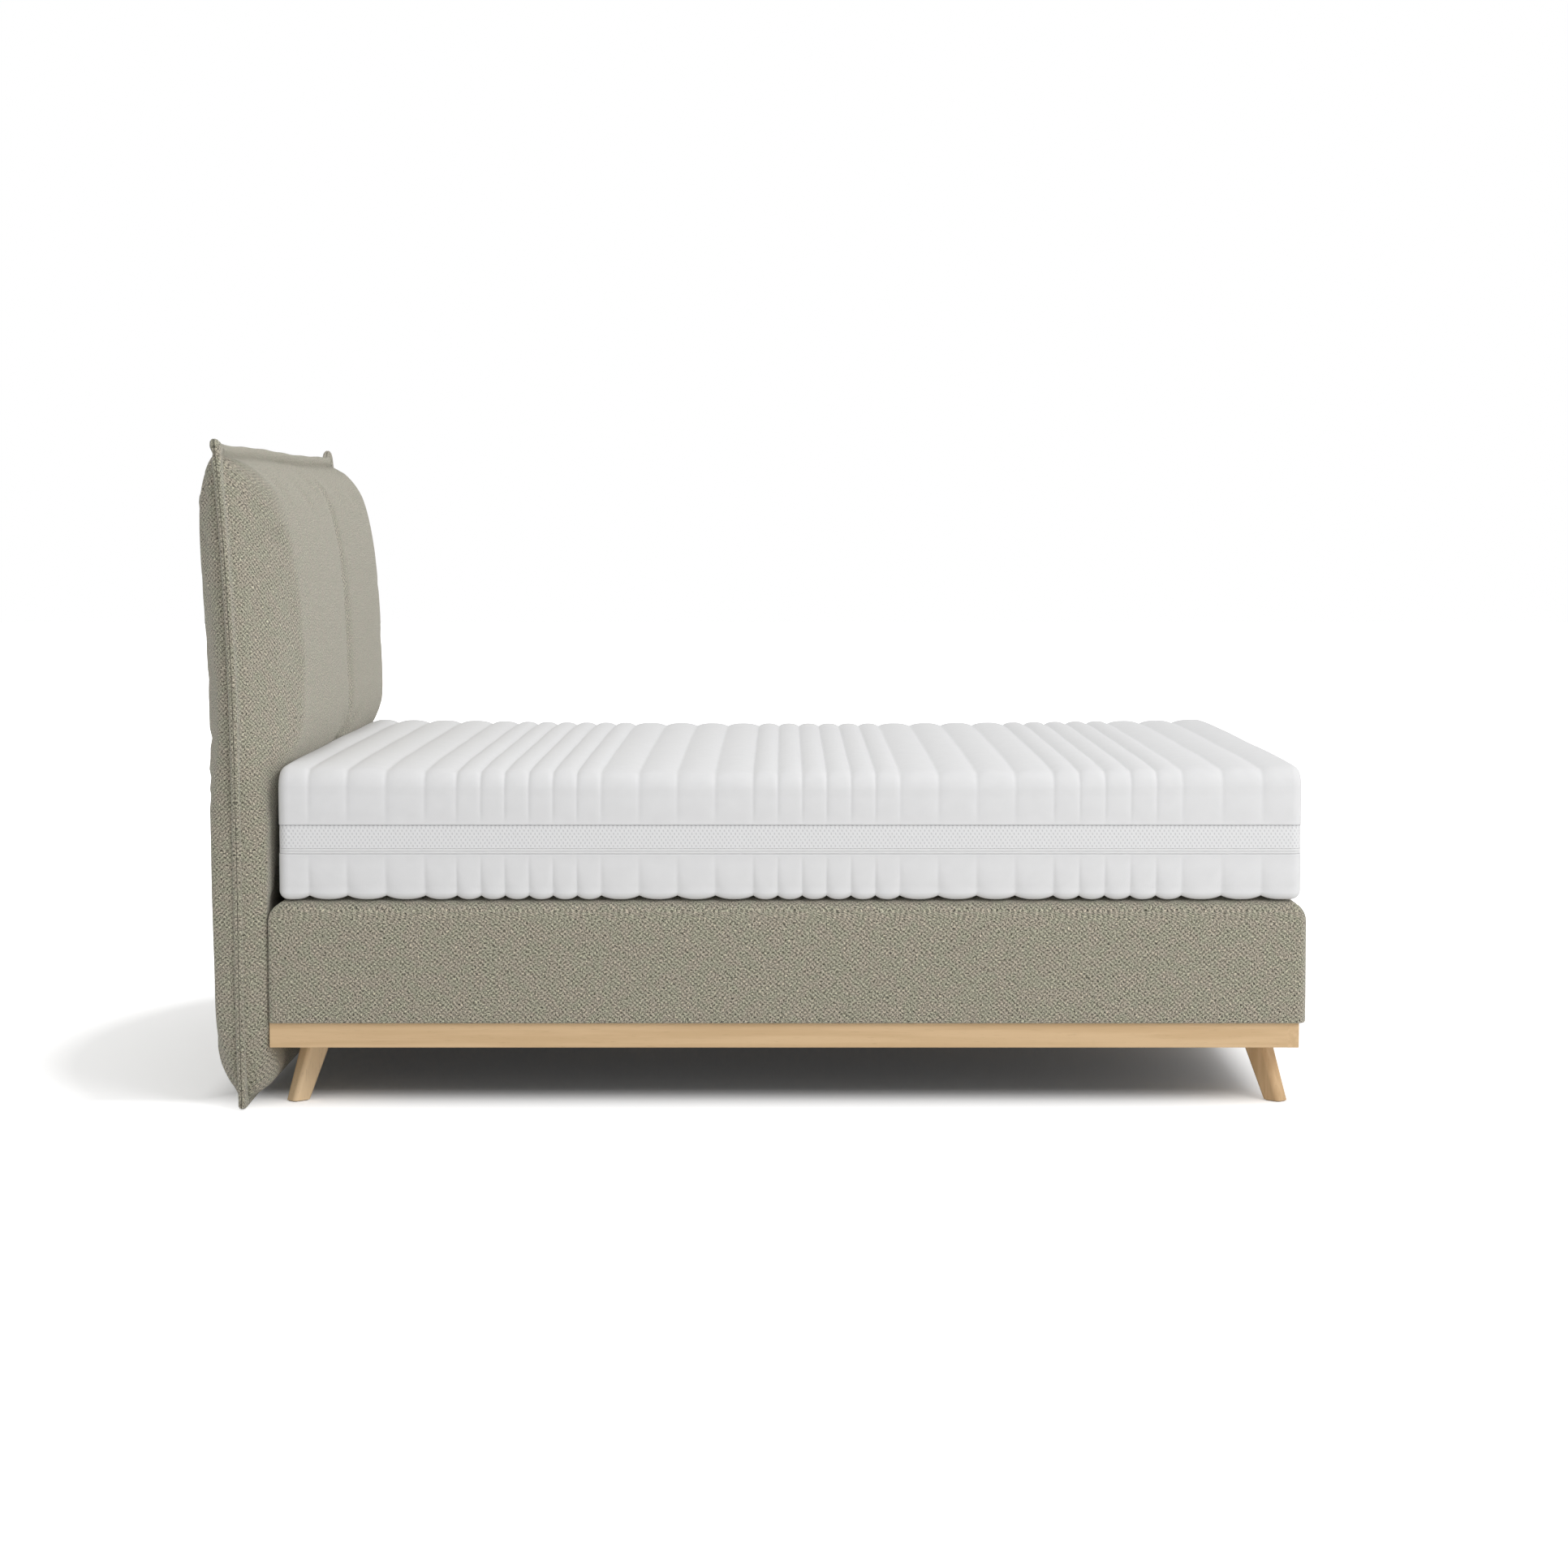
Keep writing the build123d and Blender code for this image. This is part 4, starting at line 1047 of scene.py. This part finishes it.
def quilt_columns(height):
    """Along the mattress: place, how much the seam pinches there, how far the end has turned in."""
    joints = channel_joints()
    samples = []
    for number, (left, right) in enumerate(zip(joints, joints[1:])):
        first = number == 0
        last = number == len(channel_shares) - 1
        for step in range(channel_steps if not last else channel_steps + 1):
            turn = math.pi * step / channel_steps
            even = 2 * step / channel_steps - 1
            across = -math.cos(turn) * seam_crowding + even * (1 - seam_crowding)
            x = (left + right) / 2 + across * (right - left) / 2
            if first and x < mattress_head + quilt_depth:
                continue
            if last and x > mattress_foot - quilt_depth:
                continue
            pinch = abs(across)
            if (first and across < 0) or (last and across > 0):
                pinch = 0.0
            samples.append((x, pinch, 0.0))
    ends = []
    for step in range(end_arc_steps + 1):
        turn = math.pi / 2 * step / end_arc_steps
        ends.append((quilt_depth * (1 - math.sin(turn)), quilt_depth * (1 - math.cos(turn))))
    left_over = height - 0.0004 - quilt_depth
    for step in range(1, end_face_steps + 1):
        ends.append((0.0, quilt_depth + left_over * step / end_face_steps))
    ends.append((hem_depth, height - seam_clearance))
    head = [(mattress_head + inset, 0.0, depth) for inset, depth in reversed(ends)]
    foot = [(mattress_foot - inset, 0.0, depth) for inset, depth in ends]
    return head + samples + foot


wrap_side_steps = 7
wrap_arc_steps = 10
wrap_face_steps = 34
wrap_corner_step = wrap_side_steps + wrap_arc_steps
wrap_rows = 2 * (len(hem_rows) + wrap_corner_step) + wrap_face_steps


def quilt_point(quilt_run, column, row, facing, seam_z, face_z, corner, sag, pinches):
    """A point of a quilted cover: along the mattress by column, round its width by row.

    The pinches are how deep a quilting seam pulls in near the border, at the corner and on the
    face, and how sharp its groove is at the edge.
    """
    x, across, turned_in = quilt_run[column]
    side = -1
    if row > wrap_rows / 2:
        row = wrap_rows - row
        side = 1
    height = abs(face_z - seam_z)
    near_seam, at_corner, on_face, at_edge = pinches
    ease = max(0.0, 1 - turned_in / quilt_depth)
    if row < len(hem_rows):
        inset, rise = hem_rows[row]
        depth = turned_in + inset * ease + near_seam * across ** 8
        z = seam_z + facing * min(rise, max(height - turned_in, 0.0))
        return (x, side * (mattress_half - depth), z)
    step = row - len(hem_rows)
    if step <= wrap_side_steps:
        up = step / wrap_side_steps
        pinch = near_seam + (at_corner - near_seam) * up ** 3
        sharp = hem_sharpness + (at_edge - hem_sharpness) * up
    elif step <= wrap_corner_step:
        round_share = (step - wrap_side_steps) / wrap_arc_steps
        pinch = at_corner + (on_face - at_corner) * round_share
        sharp = at_edge + (face_sharpness - at_edge) * round_share
    else:
        pinch = on_face
        sharp = face_sharpness
    depth = turned_in + pinch * across ** sharp
    radius = max(min(max(corner - depth, 0.0005), 0.5 * (height - depth)), 0.0001)
    half = mattress_half - depth
    face = face_z - facing * depth
    centre_y = half - radius
    centre_z = face - facing * radius
    if step <= wrap_side_steps:
        low = seam_z + facing * min(0.004, 0.4 * max(height - depth, 0.0))
        z = low + (centre_z - low) * up
        fullness = math.sin(math.pi * up) * (1 - across ** 6)
        y = half + side_fullness * ease * (fullness - 1)
        if step == 0:
            y = half - 0.0004 * ease
    elif step <= wrap_corner_step:
        turn = math.pi / 2 * (step - wrap_side_steps) / wrap_arc_steps
        y = centre_y + radius * math.cos(turn) ** roundness
        z = centre_z + facing * radius * math.sin(turn) ** roundness
    else:
        y = centre_y * (1 - (step - wrap_corner_step) / (wrap_face_steps / 2))
        z = face
    if facing < 0:
        z -= rim_drop * max(0.0, 1 - abs(y - rim_line) / rim_reach)
    if sag:
        from_middle = x - (mattress_head + mattress_foot) / 2
        dip = sag * (1 - from_middle ** 2) + side_sag * (y / mattress_half) ** 4
        dip += unevenness((x, side * y, 0), 0.3, 0.0016)
        z -= dip * kept((z - seam_z) / height)
    if facing * (z - seam_z) < seam_clearance:
        z = seam_z + facing * seam_clearance
    return (x, side * y, z)


def quilted_cover(name, facing, seam_z, face_z, corner, sag, pinches, node):
    quilt_run = quilt_columns(abs(face_z - seam_z))
    bm = lay_cloth(
        len(quilt_run) - 1,
        wrap_rows,
        lambda column, row: quilt_point(
            quilt_run, column, row, facing, seam_z, face_z, corner, sag, pinches
        ),
        turn_over=facing < 0,
        closed=True,
    )
    piece = finish_piece(name, bm, quilt, "mattress")
    give_wall(piece, 0.005)
    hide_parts(node)


quilted_cover(
    "quilted_top",
    facing=1,
    seam_z=band_top,
    face_z=mattress_top + 0.0085,
    corner=0.052,
    sag=0.01,
    pinches=(0.0004, 0.0022, 0.008, 5.5),
    node="mattress_cover_top",
)
quilted_cover(
    "quilted_base",
    facing=-1,
    seam_z=zip_base,
    face_z=mattress_base,
    corner=0.016,
    sag=0,
    pinches=(0.0004, 0.0072, 0.0078, 2.5),
    node="mattress_cover_bottom",
)


# Mattress core: a foam block with rounded corners and zone cuts across it

core_low, core_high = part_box("mattress_core")
cut_half = 0.002
cut_depth = 0.025
core_end = [(0.0, 0.012, 0.0), (0.004, 0.004, 0.0), (0.014, 0.0, 0.0)]
core_stations = [(core_low.x + inset, drawn_in, cut) for inset, drawn_in, cut in core_end]
for joint in channel_joints()[2:-2:2]:
    core_stations += [(joint - cut_half - 0.0002, 0.0, 0.0), (joint - cut_half, 0.0, cut_depth)]
    core_stations += [(joint + cut_half, 0.0, cut_depth), (joint + cut_half + 0.0002, 0.0, 0.0)]
core_stations += [(core_high.x - inset, drawn_in, cut) for inset, drawn_in, cut in reversed(core_end)]
core_corner_steps = 6
core_top_round = 0.05
core_base_round = 0.024


def core_point(column, row):
    x, drawn_in, cut = core_stations[column]
    corner = (row // (core_corner_steps + 1)) % 4
    turn = math.pi / 2 * (row % (core_corner_steps + 1)) / core_corner_steps
    side = 1 if corner in (0, 3) else -1
    upper = corner in (0, 1)
    radius = core_top_round if upper else core_base_round
    heading = turn + math.pi / 2 * corner
    centre_y = side * (core_high.y - 0.001 - drawn_in - radius)
    inset = drawn_in + cut + radius
    centre_z = core_high.z - inset if upper else core_low.z + 0.002 + inset
    return (x, centre_y + radius * math.cos(heading), centre_z + radius * math.sin(heading))


core_bm = lay_cloth(len(core_stations) - 1, 4 * (core_corner_steps + 1), core_point, closed=True)
bmesh.ops.holes_fill(core_bm, edges=[edge for edge in core_bm.edges if edge.is_boundary])
bmesh.ops.recalc_face_normals(core_bm, faces=core_bm.faces)
mattress_filling = finish_piece(
    "mattress_filling", core_bm, seat_foam, "mattress", smooth=False
)
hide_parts("mattress_core")


# Floor, light and camera

def sight_ray(bench):
    """1 for the rays that the camera sends, also those that a gloss or a clear part sends on."""
    seen = bench.node("LightPath", {}, {}, output="Is Camera Ray")
    for ray in ("Is Glossy Ray", "Is Transmission Ray"):
        seen = seen.at_least(bench.node("LightPath", {}, {}, output=ray))
    return seen


def set_floor():
    """A pale floor that shows the bed's own shade near it and fades to white around it. Its glow is
    painted light shaped round the bed: at the front it reaches in under the bed's edge and paints the
    near edge of the shade there, beside the head and foot ends it lifts the floor's shade, and a faint
    glow lifts the shade under the bed.
    """
    bm = bmesh.new()
    bmesh.ops.create_grid(bm, x_segments=1, y_segments=1, size=30)
    floor_mesh = bpy.data.meshes.new("floor")
    bm.to_mesh(floor_mesh)
    bm.free()
    floor = bpy.data.objects.new("floor", floor_mesh)
    scene.collection.objects.link(floor)
    finish = Finish("pale_floor")
    place = object_place(finish)
    away = finish.node("VectorMath", {"operation": "LENGTH"}, {0: place}, output=1)
    # Painted light: glow levels on the floor in front of, beside and under the bed.
    front = finish.span(part_along(finish, place, "Y"), -0.54, -0.82) * 0.6
    head = finish.span(part_along(finish, place, "X"), -1.0, -1.12) * 0.3
    foot = finish.span(part_along(finish, place, "X"), 0.98, 1.1) * 0.5
    painted_glow_near_bed = front.at_least(head.at_least(foot)) + 0.022
    glow = sight_ray(finish) * painted_glow_near_bed.at_least(finish.span(away, 1.2, 1.9))
    white = finish.mix(glow, colour(0, 0, 0), colour(1, 1, 1))
    finish.set(Base_Color=colour(0.9, 0.9, 0.9), Roughness=1.0, Specular_IOR_Level=0.0)
    finish.set(Emission_Color=white, Emission_Strength=1.0)
    floor_mesh.materials.append(finish.material)


def set_light():
    """A white surround for the camera, and a dimmer one for the bed that brightens toward the foot."""
    world = bpy.data.worlds.new("studio")
    scene.world = world
    world.use_nodes = True
    bench = Bench(world.node_tree)
    place = bench.node("TexCoord", {}, {}, output="Generated")
    slope = bench.node(
        "MapRange",
        {},
        {"Value": part_along(bench, place, "X"), "From Min": -1.0, "To Min": 0.43, "To Max": 0.94},
    )
    strength = bench.node("Mix", {}, {"Factor": sight_ray(bench), "A": slope, "B": 1.0})
    background = bench.node("Background", {}, {"Color": colour(1, 1, 1), "Strength": strength})
    output = bench.tree.nodes.new("ShaderNodeOutputWorld")
    bench.feed(output.inputs[0], background)


def add_lamp(name, place, target, size, power):
    lamp = bpy.data.lights.new(name, "AREA")
    lamp.shape = "SQUARE"
    lamp.size = size
    lamp.energy = power
    holder = bpy.data.objects.new(name, lamp)
    scene.collection.objects.link(holder)
    holder.location = place
    holder.rotation_euler = (Vector(target) - Vector(place)).to_track_quat("-Z", "Y").to_euler()


def set_camera():
    lens = bpy.data.cameras.new("camera")
    lens.lens = 76.84
    lens.sensor_width = 36
    camera = bpy.data.objects.new("camera", lens)
    scene.collection.objects.link(camera)
    camera.location = (0.0629, -7.3029, 1.1548)
    camera.rotation_euler = (math.radians(90 - 4.52), 0, 0)
    scene.camera = camera


set_floor()
set_light()
bed_middle = (0, 0, 0.4)
add_lamp("key_lamp", place=(3.4, -4.8, 3.9), target=bed_middle, size=2.2, power=105)
add_lamp("top_lamp", place=(0, 0, 4.8), target=bed_middle, size=3.0, power=32)
set_camera()
scene.view_settings.view_transform = "Standard"
